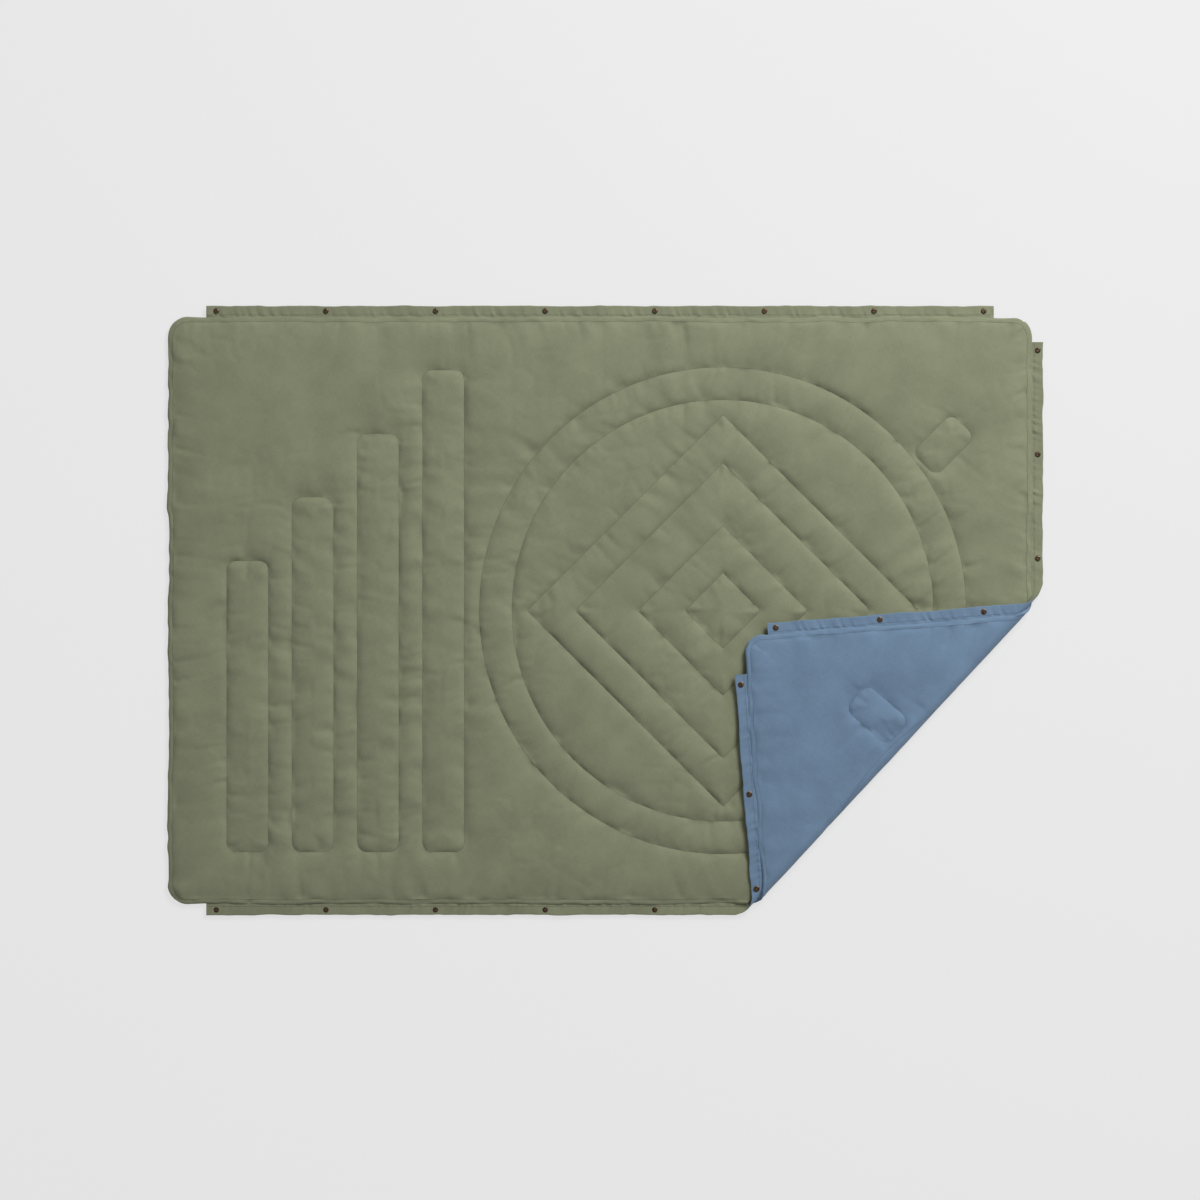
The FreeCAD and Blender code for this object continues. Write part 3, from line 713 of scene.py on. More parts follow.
class NodeSheet:
    """A material's node tree, with short calls for the nodes used here."""

    def __init__(self, name: str) -> None:
        """Start an empty material.

        Args:
            name: The material's name.
        """
        self.material = bpy.data.materials.new(name)
        self.material.use_nodes = True
        self.tree = self.material.node_tree
        self.tree.nodes.clear()

    def add(self, kind: str, **settings: object) -> bpy.types.Node:
        """Add a node and set its properties.

        Args:
            kind: The node's type.
            settings: Its properties.

        Returns:
            The node.
        """
        node = self.tree.nodes.new(kind)
        for key, value in settings.items():
            setattr(node, key, value)
        return node

    def link(self, source: bpy.types.NodeSocket, target: bpy.types.NodeSocket) -> None:
        """Join two sockets."""
        self.tree.links.new(source, target)

    def flat_place(self) -> bpy.types.NodeSocket:
        """Place on the flat cloth, in metres."""
        return self.add("ShaderNodeAttribute", attribute_name="flat").outputs["Vector"]

    def object_place(self) -> bpy.types.NodeSocket:
        """Place on the object, in metres."""
        return self.add("ShaderNodeTexCoord").outputs["Object"]

    def noise(
        self, place: bpy.types.NodeSocket, scale: float, detail: float
    ) -> bpy.types.NodeSocket:
        """A noise texture's value.

        Args:
            place: Where it is read.
            scale: Waves in a metre.
            detail: Its finer layers.

        Returns:
            The value.
        """
        node = self.add("ShaderNodeTexNoise")
        node.inputs["Scale"].default_value = scale
        node.inputs["Detail"].default_value = detail
        self.link(place, node.inputs["Vector"])
        return node.outputs["Fac"]

    def math(self, operation: str, first: object, second: object) -> bpy.types.NodeSocket:
        """A sum, product or other operation on two values or sockets.

        Args:
            operation: The operation's name.
            first: A value or socket.
            second: A value or socket.

        Returns:
            The result.
        """
        node = self.add("ShaderNodeMath", operation=operation)
        for index, value in enumerate((first, second)):
            if isinstance(value, (int, float)):
                node.inputs[index].default_value = value
            else:
                self.link(value, node.inputs[index])
        return node.outputs[0]

    def shades(
        self, share: bpy.types.NodeSocket, dark: Sequence[float], light: Sequence[float],
        low: float, high: float,
    ) -> bpy.types.NodeSocket:
        """A colour between two, by a value's place from low to high.

        Args:
            share: The value.
            dark: The colour at low.
            light: The colour at high.
            low: Where the change starts.
            high: Where it ends.

        Returns:
            The colour.
        """
        node = self.add("ShaderNodeValToRGB")
        ramp = node.color_ramp
        ramp.elements[0].position, ramp.elements[1].position = low, high
        ramp.elements[0].color = (*dark, 1.0)
        ramp.elements[1].color = (*light, 1.0)
        self.link(share, node.inputs["Fac"])
        return node.outputs["Color"]

    def stretched(
        self, place: bpy.types.NodeSocket, scale: tuple[float, float, float], detail: float
    ) -> bpy.types.NodeSocket:
        """A noise texture that is drawn out along one axis.

        Args:
            place: Where it is read.
            scale: Waves in a metre along each axis.
            detail: Its finer layers.

        Returns:
            The value.
        """
        node = self.add("ShaderNodeVectorMath", operation="MULTIPLY")
        node.inputs[1].default_value = scale
        self.link(place, node.inputs[0])
        return self.noise(node.outputs["Vector"], 1.0, detail)

    def bump(
        self, height: bpy.types.NodeSocket, distance: float, strength: float
    ) -> bpy.types.NodeSocket:
        """A bumped normal.

        Args:
            height: The bumps.
            distance: Their height in metres.
            strength: How strongly they show.

        Returns:
            The normal.
        """
        node = self.add("ShaderNodeBump")
        node.inputs["Distance"].default_value = distance
        node.inputs["Strength"].default_value = strength
        self.link(height, node.inputs["Height"])
        return node.outputs["Normal"]

    def surface(self, values: dict[str, object], links: dict[str, bpy.types.NodeSocket]) -> None:
        """End in a Principled shader.

        Args:
            values: Plain values of its sockets.
            links: Sockets that feed it.
        """
        shader = self.add("ShaderNodeBsdfPrincipled")
        output = self.add("ShaderNodeOutputMaterial")
        for key, value in values.items():
            shader.inputs[key].default_value = value
        for key, socket in links.items():
            self.link(socket, shader.inputs[key])
        self.link(shader.outputs["BSDF"], output.inputs["Surface"])


def tinted(colour: Sequence[float], share: float) -> tuple[float, ...]:
    """A colour made lighter or darker."""
    return tuple(min(1.0, value * share) for value in colour)


@dataclass(frozen=True)
class WovenCloth:
    """Matte plain-weave shell cloth."""

    name: str
    colour: tuple[float, float, float]
    sheen: float = 0.18
    weave: float = 0.0011
    shades: tuple[float, float] = (0.84, 1.15)

    def make(self) -> bpy.types.Material:
        """Build the material.

        Returns:
            The finished material.
        """
        sheet = NodeSheet(self.name)
        place = sheet.flat_place()
        split = sheet.add("ShaderNodeSeparateXYZ")
        sheet.link(place, split.inputs[0])
        frequency = 2 * math.pi / self.weave
        across = sheet.math("SINE", sheet.math("MULTIPLY", split.outputs[0], frequency), 0.0)
        down = sheet.math("SINE", sheet.math("MULTIPLY", split.outputs[1], frequency), 0.0)
        weave = sheet.math("MULTIPLY", across, down)
        mottle = sheet.noise(place, 12.0, 5.0)
        weft = sheet.stretched(place, (70.0, 900.0, 1.0), 2.0)
        warp = sheet.stretched(place, (900.0, 70.0, 1.0), 2.0)
        slub = sheet.math("MULTIPLY", sheet.math("ADD", weft, warp), 0.5)
        grain = sheet.math("MULTIPLY", mottle, 0.4)
        grain = sheet.math("ADD", grain, sheet.math("MULTIPLY", slub, 0.6))
        dark, light = (tinted(self.colour, share) for share in self.shades)
        colour = sheet.shades(grain, dark, light, 0.34, 0.66)
        height = sheet.math("ADD", sheet.math("MULTIPLY", weave, 0.2), slub)
        rough = sheet.math("ADD", sheet.math("MULTIPLY", slub, 0.14), 0.76)
        sheet.surface(
            {"Sheen Weight": self.sheen, "Sheen Roughness": 0.5, "Specular IOR Level": 0.25},
            {
                "Base Color": colour,
                "Roughness": rough,
                "Normal": sheet.bump(height, 0.0003, 0.4),
            },
        )
        return sheet.material


@dataclass(frozen=True)
class SewingThread:
    """Twisted polyester thread."""

    name: str
    colour: tuple[float, float, float]
    shades: tuple[float, float] = (0.75, 1.2)

    def make(self) -> bpy.types.Material:
        """Build the material.

        Returns:
            The finished material.
        """
        sheet = NodeSheet(self.name)
        place = sheet.object_place()
        twist = sheet.noise(place, 1500.0, 2.0)
        wear = sheet.noise(place, 22.0, 3.0)
        grain = sheet.math("MULTIPLY", twist, 0.5)
        grain = sheet.math("ADD", grain, sheet.math("MULTIPLY", wear, 0.5))
        dark, light = (tinted(self.colour, share) for share in self.shades)
        colour = sheet.shades(grain, dark, light, 0.3, 0.7)
        rough = sheet.math("ADD", sheet.math("MULTIPLY", wear, 0.2), 0.5)
        sheet.surface(
            {"Sheen Weight": 0.1},
            {
                "Base Color": colour,
                "Roughness": rough,
                "Normal": sheet.bump(twist, 0.0003, 0.4),
            },
        )
        return sheet.material


@dataclass(frozen=True)
class SnapMetal:
    """Metal of the snaps, darkened in its hollows."""

    name: str
    dark: tuple[float, float, float]
    bright: tuple[float, float, float]

    def make(self) -> bpy.types.Material:
        """Build the material.

        Returns:
            The finished material.
        """
        sheet = NodeSheet(self.name)
        place = sheet.object_place()
        patina = sheet.noise(place, 260.0, 5.0)
        scratch = sheet.noise(place, 1400.0, 2.0)
        wear = sheet.add("ShaderNodeNewGeometry").outputs["Pointiness"]
        mix = sheet.math("MULTIPLY", patina, 0.6)
        mix = sheet.math("ADD", mix, sheet.math("MULTIPLY", wear, 0.4))
        colour = sheet.shades(mix, self.dark, self.bright, 0.40, 0.62)
        rough = sheet.math("ADD", sheet.math("MULTIPLY", patina, 0.3), 0.3)
        sheet.surface(
            {"Metallic": 1.0},
            {
                "Base Color": colour,
                "Roughness": rough,
                "Normal": sheet.bump(scratch, 0.0001, 0.3),
            },
        )
        return sheet.material


GREEN = (0.193, 0.208, 0.130)
BLUE = (0.130, 0.203, 0.300)


@dataclass
class Finishes:
    """Every material of the blanket."""

    green: bpy.types.Material = field(default_factory=WovenCloth("green_shell_cloth", GREEN).make)
    blue: bpy.types.Material = field(default_factory=WovenCloth("blue_lining_cloth", BLUE).make)
    # The green thread is real, but its colour is set well below the shell's as painted shade: it
    # stands in for the shadow in the stitch holes and in the valley between a strip and the body's
    # edge.
    green_thread: bpy.types.Material = field(
        default_factory=SewingThread("green_thread", (0.075, 0.082, 0.052)).make
    )
    blue_thread: bpy.types.Material = field(
        default_factory=SewingThread("blue_thread", (0.07, 0.11, 0.165)).make
    )
    brass: bpy.types.Material = field(
        default_factory=SnapMetal("antique_brass", (0.035, 0.024, 0.018), (0.17, 0.115, 0.075)).make
    )
    steel: bpy.types.Material = field(
        default_factory=SnapMetal("spring_steel", (0.25, 0.24, 0.22), (0.55, 0.53, 0.5)).make
    )

    def cloth(self, side: Side) -> bpy.types.Material:
        """The cloth of one face."""
        return self.green if side is Side.GREEN else self.blue

    def thread(self, side: Side) -> bpy.types.Material:
        """The thread of one face; the green thread's darkened colour is partly painted shade."""
        return self.green_thread if side is Side.GREEN else self.blue_thread


# Meshes ----------------------------------------------------------------------


@dataclass
class FlatMesh:
    """Faces drawn on the flat cloth, before they get their height."""

    spots: Array
    faces: list[tuple[int, ...]]

    @classmethod
    def grid(cls, rows: Array, columns: Array) -> "FlatMesh":
        """A rectangular grid.

        Args:
            rows: Its lines along X.
            columns: Its lines along Y.

        Returns:
            The flat mesh.
        """
        across, down = np.meshgrid(rows, columns, indexing="ij")
        spots = np.stack([across.ravel(), down.ravel()], axis=1)
        count = len(columns)
        corners = np.arange(len(rows) * count).reshape(len(rows), count)
        quads = np.stack(
            [corners[:-1, :-1], corners[1:, :-1], corners[1:, 1:], corners[:-1, 1:]], axis=-1
        )
        faces = [tuple(quad) for quad in quads.reshape(-1, 4).tolist()]
        return cls(spots, faces)

    def cut_along_fold(self, fold: Fold, steps: Iterable[float]) -> "FlatMesh":
        """Add edges that run along the fold, so that the turn is smooth.

        Args:
            fold: The fold.
            steps: Distances past the fold line.

        Returns:
            The finer mesh.
        """
        mesh = bmesh.new()
        points = [mesh.verts.new((*spot, 0.0)) for spot in self.spots]
        mesh.verts.ensure_lookup_table()
        for face in self.faces:
            mesh.faces.new([points[index] for index in face])
        normal = Vector((*fold.outward, 0.0))
        for step in steps:
            level = fold.reach + step
            near = [
                face
                for face in mesh.faces
                if min(v.co.dot(normal) for v in face.verts) < level
                and max(v.co.dot(normal) for v in face.verts) > level
            ]
            geometry = set(near)
            for face in near:
                geometry.update(face.edges)
                geometry.update(face.verts)
            bmesh.ops.bisect_plane(
                mesh, geom=list(geometry), dist=1e-6, plane_co=normal * level, plane_no=normal
            )
        mesh.verts.index_update()
        places = np.array([v.co[:2] for v in mesh.verts])
        faces = [tuple(v.index for v in face.verts) for face in mesh.faces]
        mesh.free()
        return FlatMesh(places, faces)

    def settle_on(self, seam: Seam, pitch: float) -> None:
        """Move the points nearest to a row of stitching onto it.

        Args:
            seam: The row.
            pitch: Size of the grid's cells.
        """
        picked, gaps, places = seam.nearest(self.spots, pitch * 1.6)
        landing = np.full((len(self.spots), 2), np.nan)
        landing[picked] = seam.at(places)
        distance = np.full(len(self.spots), np.inf)
        distance[picked] = np.abs(gaps)
        quads = np.array([face for face in self.faces if len(face) == 4])
        edges = np.vstack([quads[:, [0, 1]], quads[:, [1, 2]], quads[:, [2, 3]], quads[:, [3, 0]]])
        near = np.isfinite(distance[edges]).all(axis=1)
        edges = edges[near]
        offset = self.spots[edges] - landing[edges]
        crossing = (offset[:, 0] * offset[:, 1]).sum(axis=1) <= 0.0
        edges = edges[crossing]
        closer = np.where(distance[edges[:, 0]] <= distance[edges[:, 1]], edges[:, 0], edges[:, 1])
        closer = np.unique(closer)
        self.spots[closer] = landing[closer]

    def split_along(self, seams: Sequence[Seam]) -> None:
        """Turn cells that a row crosses from corner to corner into triangles.

        Args:
            seams: The rows, which already have points of the grid on them.
        """
        owner, place = self.owners(seams)
        faces = []
        for face in self.faces:
            if len(face) == 4:
                a, b, c, d = face
                if owner[a] >= 0 and owner[a] == owner[c] and abs(place[a] - place[c]) < ROW_STEP:
                    faces += [(a, b, c), (a, c, d)]
                    continue
                if owner[b] >= 0 and owner[b] == owner[d] and abs(place[b] - place[d]) < ROW_STEP:
                    faces += [(a, b, d), (b, c, d)]
                    continue
            faces.append(face)
        self.faces = [face for face in faces if self._signed_area(face) > SLIVER]

    def _signed_area(self, face: Sequence[int]) -> float:
        """Flat area of a face, negative where it is turned over."""
        x, y = self.spots[list(face)].T
        return float(np.dot(x, np.roll(y, -1)) - np.dot(y, np.roll(x, -1))) / 2

    def owners(self, seams: Sequence[Seam]) -> tuple[Array, Array]:
        """Which row each point lies on, or -1, and how far along it.

        Args:
            seams: The rows.

        Returns:
            The row's number and the place along it, for each point.
        """
        owner = np.full(len(self.spots), -1)
        place = np.zeros(len(self.spots))
        for index, seam in enumerate(seams):
            picked, _, places = seam.nearest(self.spots, ON_ROW)
            owner[picked] = index
            place[picked] = places
        return owner, place

    def half(self, fold: Fold, folded: bool) -> tuple["FlatMesh", Array]:
        """The share on one side of the turn's middle.

        Args:
            fold: The fold.
            folded: True for the share that folds over.

        Returns:
            That share, and which of this mesh's points it has.
        """
        past = fold.distance(self.spots) - fold.cloth / 2
        kept = [face for face in self.faces if (sum(past[i] for i in face) > 0.0) == folded]
        used = np.unique([index for face in kept for index in face]).astype(int)
        order = np.full(len(self.spots), -1)
        order[used] = np.arange(len(used))
        faces = [tuple(int(order[i]) for i in face) for face in kept]
        return FlatMesh(self.spots[used], faces), used

    @property
    def area(self) -> float:
        """Flat area of all faces."""
        return sum(abs(self._signed_area(face)) for face in self.faces)


def build_object(
    name: str, points: Array, faces: Sequence[Sequence[int]], material: bpy.types.Material,
    flat: Array | None = None,
) -> bpy.types.Object:
    """Make a smooth-shaded mesh object.

    Args:
        name: The piece's name.
        points: Its points in the frame.
        faces: Its faces.
        material: Its finish.
        flat: Each point's place on the flat cloth, for the weave.

    Returns:
        The object, linked to the scene.
    """
    mesh = bpy.data.meshes.new(name)
    mesh.from_pydata(points.tolist(), [], list(faces))
    mesh.polygons.foreach_set("use_smooth", np.ones(len(mesh.polygons), bool))
    if flat is not None:
        attribute = mesh.attributes.new("flat", "FLOAT_VECTOR", "POINT")
        places = np.zeros((len(points), 3), np.float32)
        places[:, :2] = flat
        attribute.data.foreach_set("vector", places.ravel())
    mesh.materials.append(material)
    mesh.update()
    piece = bpy.data.objects.new(name, mesh)
    bpy.context.scene.collection.objects.link(piece)
    return piece


@dataclass(frozen=True)
class ClothField:
    """Heights of the simulated cloth on its grid."""

    low: Array
    cell: Array
    levels: Array

    def height(self, spots: Array) -> Array:
        """Smoothly read the height at flat places.

        Args:
            spots: Flat places.

        Returns:
            A height for each.
        """
        scaled = (spots[:, :2] - self.low) / self.cell
        size = np.array(self.levels.shape) - 1
        scaled = np.clip(scaled, 0.0, size - 1e-6)
        base = np.floor(scaled).astype(int)
        share = scaled - base
        weights = []
        for offset in range(-1, 3):
            away = np.abs(share - offset)
            near = 1.5 * away**3 - 2.5 * away**2 + 1.0
            far = -0.5 * away**3 + 2.5 * away**2 - 4.0 * away + 2.0
            weights.append(np.where(away <= 1.0, near, far))
        total = np.zeros(len(spots))
        for row, row_weight in enumerate(weights):
            for column, column_weight in enumerate(weights):
                x = np.clip(base[:, 0] + row - 1, 0, size[0])
                y = np.clip(base[:, 1] + column - 1, 0, size[1])
                total += self.levels[x, y] * row_weight[:, 0] * column_weight[:, 1]
        return total


@dataclass
class QuiltCloth:
    """Cloth simulation of the shell, sewn down along its rows and pushed up by the fill."""

    outline: Outline
    pattern: QuiltPattern
    cell: float = 0.0095
    frames: int = 16
    quality: int = 4
    spare_cloth: float = 0.085
    spare_reach: float = 0.032
    push: float = 3.0
    hold: float = 0.1
    stiffness: float = 5.0
    bending: float = 3.0
    unevenness: float = 0.0014

    def _flat_mesh(self) -> tuple[FlatMesh, tuple[int, int]]:
        """The grid with its points moved onto the rows.

        Returns:
            The flat mesh, and how many points it has along X and along Y.
        """
        sides = (self.outline.length, self.outline.width)
        counts = tuple(round(side / self.cell) for side in sides)
        half = tuple(side / 2 for side in sides)
        lines = [np.linspace(-side, side, count + 1) for side, count in zip(half, counts)]
        mesh = FlatMesh.grid(lines[0], lines[1])
        mesh.spots = self.outline.fit(mesh.spots)
        for seam in self.pattern.every_row:
            mesh.settle_on(seam, self.cell)
        mesh.split_along(self.pattern.every_row)
        return mesh, (counts[0] + 1, counts[1] + 1)

    def _group(self, piece: bpy.types.Object, name: str, weights: Array) -> None:
        """Add a vertex group.

        Args:
            piece: The object.
            name: The group's name.
            weights: A weight for each point.
        """
        group = piece.vertex_groups.new(name=name)
        for value in np.unique(weights):
            group.add(np.nonzero(weights == value)[0].tolist(), float(value), "REPLACE")

    def settle(self) -> ClothField:
        """Run the simulation.

        Returns:
            The cloth's heights above its rows of stitching.
        """
        mesh, shape = self._flat_mesh()
        start = 0.65 * SoftNoise(7).plane(mesh.spots, 0.036)
        start += 0.35 * SoftNoise(8).plane(mesh.spots, 0.021)
        points = np.column_stack([mesh.spots, self.unevenness * start])
        data = bpy.data.meshes.new("cloth_trial")
        data.from_pydata(points.tolist(), [], mesh.faces)
        piece = bpy.data.objects.new("cloth_trial", data)
        scene = bpy.context.scene
        scene.collection.objects.link(piece)
        owner, _ = mesh.owners(self.pattern.every_row)
        sewn = (owner >= 0) | (self.outline.depth(mesh.spots) < 0.001)
        self._group(piece, "sewn", np.where(sewn, 1.0, self.hold))
        gap = np.full(len(points), 1.0)
        for seam in self.pattern.every_row:
            picked, distance, _ = seam.nearest(mesh.spots, 0.15)
            gap[picked] = np.minimum(gap[picked], np.abs(distance))
        self._group(piece, "spare", np.round(np.exp(-gap / self.spare_reach), 2))
        modifier = piece.modifiers.new("cloth", "CLOTH")
        cloth = modifier.settings
        cloth.quality = self.quality
        cloth.mass = 0.3
        cloth.tension_stiffness = cloth.compression_stiffness = self.stiffness
        cloth.shear_stiffness = self.stiffness / 3
        cloth.bending_stiffness = self.bending
        cloth.vertex_group_mass = "sewn"
        cloth.vertex_group_shrink = "spare"
        cloth.shrink_min = 0.0
        cloth.shrink_max = -self.spare_cloth
        cloth.use_pressure = True
        cloth.uniform_pressure_force = self.push
        cloth.effector_weights.gravity = 0.0
        modifier.collision_settings.use_collision = False
        modifier.point_cache.frame_start = 1
        modifier.point_cache.frame_end = self.frames
        scene.frame_start, scene.frame_end = 1, self.frames
        for frame_number in range(1, self.frames + 1):
            scene.frame_set(frame_number)
        graph = bpy.context.evaluated_depsgraph_get()
        result = bpy.data.meshes.new_from_object(piece.evaluated_get(graph))
        places = np.empty(len(points) * 3)
        result.vertices.foreach_get("co", places)
        levels = places.reshape(-1, 3)[:, 2]
        levels = np.where(sewn, 0.0, levels).reshape(shape)
        bpy.data.objects.remove(piece)
        bpy.data.meshes.remove(data)
        bpy.data.meshes.remove(result)
        scene.frame_set(1)
        LOG.info("cloth trial: %.1f to %.1f mm", levels.min() * 1000, levels.max() * 1000)
        low = -np.array([self.outline.length, self.outline.width]) / 2
        return ClothField(low, -2.0 * low / (np.array(shape) - 1), levels)


@dataclass
class ClothPiece:
    """A flat cloth that crosses the fold, made as one piece on each side of it."""

    fold: Fold
    name: str
    side: Side
    mesh: FlatMesh
    height: Callable[[Array], Array]
    sway: Callable[[Array], Array]
    material: bpy.types.Material
    slot: str
    nodes: dict[Part, list[str]]
    rests_on: dict[Part, list[str]]
    arm: float
    seams: Sequence[Seam] = ()

    def build(self) -> None:
        """Make and place both pieces."""
        levels = self.height(self.mesh.spots)
        moved = self.mesh.spots + self.sway(self.mesh.spots)
        placed = self.fold.place(np.column_stack([moved, levels]))
        for part, folded in ((Part.BLANKET, False), (Part.CORNER, True)):
            share, used = self.mesh.half(self.fold, folded)
            if not share.faces:
                continue
            faces = share.faces
            if self.side is Side.BLUE:
                faces = [tuple(reversed(face)) for face in faces]
            label = f"{part.value}_{self.name}_cloth"
            piece = build_object(label, placed[used], faces, self.material, share.spots)
            if self.seams:
                crease(piece, share, self.seams)
            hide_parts(*self.nodes[part])
            ride_over_fold(piece, folded)
            span = share.spots.max(axis=0) - share.spots.min(axis=0)
            area = min(share.area, float(span[0] * span[1]))
            LOG.info("%s: %d points, %.3f square metres", label, len(used), area)


def crease(piece: bpy.types.Object, mesh: FlatMesh, seams: Sequence[Seam]) -> None:
    """Make the cloth's shading break along its rows of stitching.

    Args:
        piece: The cloth.
        mesh: Its flat mesh.
        seams: The rows.
    """
    owner, place = mesh.owners(seams)
    edges = np.empty(len(piece.data.edges) * 2, np.int32)
    piece.data.edges.foreach_get("vertices", edges)
    first, second = edges.reshape(-1, 2).T
    apart = np.abs(place[first] - place[second])
    sharp = (owner[first] >= 0) & (owner[first] == owner[second]) & (apart < ROW_STEP)
    attribute = piece.data.attributes.new("sharp_edge", "BOOLEAN", "EDGE")
    attribute.data.foreach_set("value", sharp)


def ride_over_fold(piece: bpy.types.Object, folded: bool) -> None:
    """Bake a piece's rest place into its points, the same way for either half of the turn.

    Args:
        piece: The piece, in its rest place.
        folded: True for the half that folds over.
    """
    if folded:
        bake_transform(piece)
    else:
        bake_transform(piece)


# Sub-assemblies --------------------------------------------------------------


@dataclass
class QuiltedBody:
    """The green shell and the blue lining over the fill."""

    fold: Fold
    outline: Outline
    loft: Loft
    finishes: Finishes
    pitch: float = 0.0054
    edge_rows: tuple[float, ...] = (0.0, 0.0012, 0.0035, 0.007, 0.012, 0.018)
    turn_rows: int = 16

    def flat_mesh(self) -> FlatMesh:
        """The grid of either face, cut along the turn.

        Returns:
            The flat mesh.
        """
        rows = self.outline.steps(self.outline.length, self.pitch, self.edge_rows)
        columns = self.outline.steps(self.outline.width, self.pitch, self.edge_rows)
        mesh = FlatMesh.grid(rows, columns)
        mesh.spots = self.outline.fit(mesh.spots)
        seams = self.loft.pattern.every_row
        for seam in seams:
            mesh.settle_on(seam, self.pitch)
        mesh.split_along(seams)
        steps = np.linspace(0.0, self.fold.cloth, self.turn_rows + 1)
        return mesh.cut_along_fold(self.fold, steps)

    def build(self) -> None:
        """Make both faces."""
        mesh = self.flat_mesh()
        ClothPiece(
            self.fold, "green_shell", Side.GREEN, mesh,
            self.loft.top, self.loft.sway, self.finishes.green, "shell_green",
            {
                Part.BLANKET: ["base_green_shell", "base_insulation"],
                Part.CORNER: ["corner_green_shell", "corner_insulation"],
            },
            {Part.BLANKET: ["base_blue_lining"], Part.CORNER: ["base_green_shell"]},
            self.fold.radius - self.loft.height, self.loft.pattern.every_row,
        ).build()
        ClothPiece(
            self.fold, "blue_lining", Side.BLUE, mesh,
            self.loft.bottom, self.loft.sway, self.finishes.blue, "lining_blue",
            {
                Part.BLANKET: ["base_blue_lining", "turn_blue_lining", "turn_insulation"],
                Part.CORNER: ["corner_blue_lining"],
            },
            {Part.BLANKET: [], Part.CORNER: ["corner_green_shell"]},
            self.fold.radius, self.loft.pattern.every_row,
        ).build()


@dataclass
class TurnEnds:
    """Walls that close the quilted body at both ends of the turn."""

    fold: Fold
    outline: Outline
    loft: Loft
    finishes: Finishes
    bands: int = 4
    steps: int = 16
    inset: float = 0.0016
    bulge: float = 0.0012

    def _edge_spots(self, past: Array, bottom: bool) -> Array:
        """Places on the outline at given distances past the fold.

        Args:
            past: Distances past the fold line.
            bottom: True for the edge along X, False for the one along Y.

        Returns:
            The places.
        """
        level = self.fold.reach + past
        across, down = self.fold.outward
        if bottom:
            y = np.full_like(past, -self.outline.width / 2)
            return np.column_stack([(level - down * y) / across, y])
        x = np.full_like(past, self.outline.length / 2)
        return np.column_stack([x, (level - across * x) / down])

    def build(self) -> None:
        """Make the walls, a few bands for each half and side."""
        half_turn = self.fold.cloth / 2
        levels = np.linspace(0.0, self.loft.height, self.bands * 4 + 1)
        for part, start in ((Part.BLANKET, 0.0), (Part.CORNER, half_turn)):
            past = np.linspace(start, start + half_turn, self.steps + 1)
            for band in range(self.bands):
                rows = levels[band * 4 : band * 4 + 5]
                self._band(part, past, rows, band)

    def _band(self, part: Part, past: Array, rows: Array, band: int) -> None:
        """Make one band of both end walls.

        Args:
            part: The half of the turn.
            past: Distances past the fold line.
            rows: Heights on the flat cloth.
            band: Its number, from the lining up.
        """
        points, faces, flats = [], [], []
        for bottom in (True, False):
            base = len(points) * len(past)
            spots = self._edge_spots(past, bottom)
            inward = np.array([0.0, 1.0]) if bottom else np.array([-1.0, 0.0])
            for row in rows:
                middle = row / self.loft.height * 2.0 - 1.0
                inset = self.inset - self.bulge * (1.0 - middle**2)
                moved = spots + self.loft.sway(spots) + inward * inset
                points.append(self.fold.place(np.column_stack([moved, np.full(len(past), row)])))
                flats.append(spots + inward * row)
            count = len(past)
            for row in range(len(rows) - 1):
                for step in range(count - 1):
                    first = base + row * count + step
                    face = (first, first + 1, first + count + 1, first + count)
                    faces.append(face if bottom else face[::-1])
        side = Side.BLUE if band < self.bands / 2 else Side.GREEN
        name = f"{part.value}_turn_end_{band + 1}"
        piece = build_object(
            name, np.vstack(points), faces, self.finishes.cloth(side), np.vstack(flats)
        )
        ride_over_fold(piece, part is Part.CORNER)
        LOG.info("%s: %d points", name, len(piece.data.vertices))


class StripEdge(Enum):
    """Edges of the blanket that have a snap strip."""

    TOP = "top"
    BOTTOM = "bottom"
    RIGHT = "right"


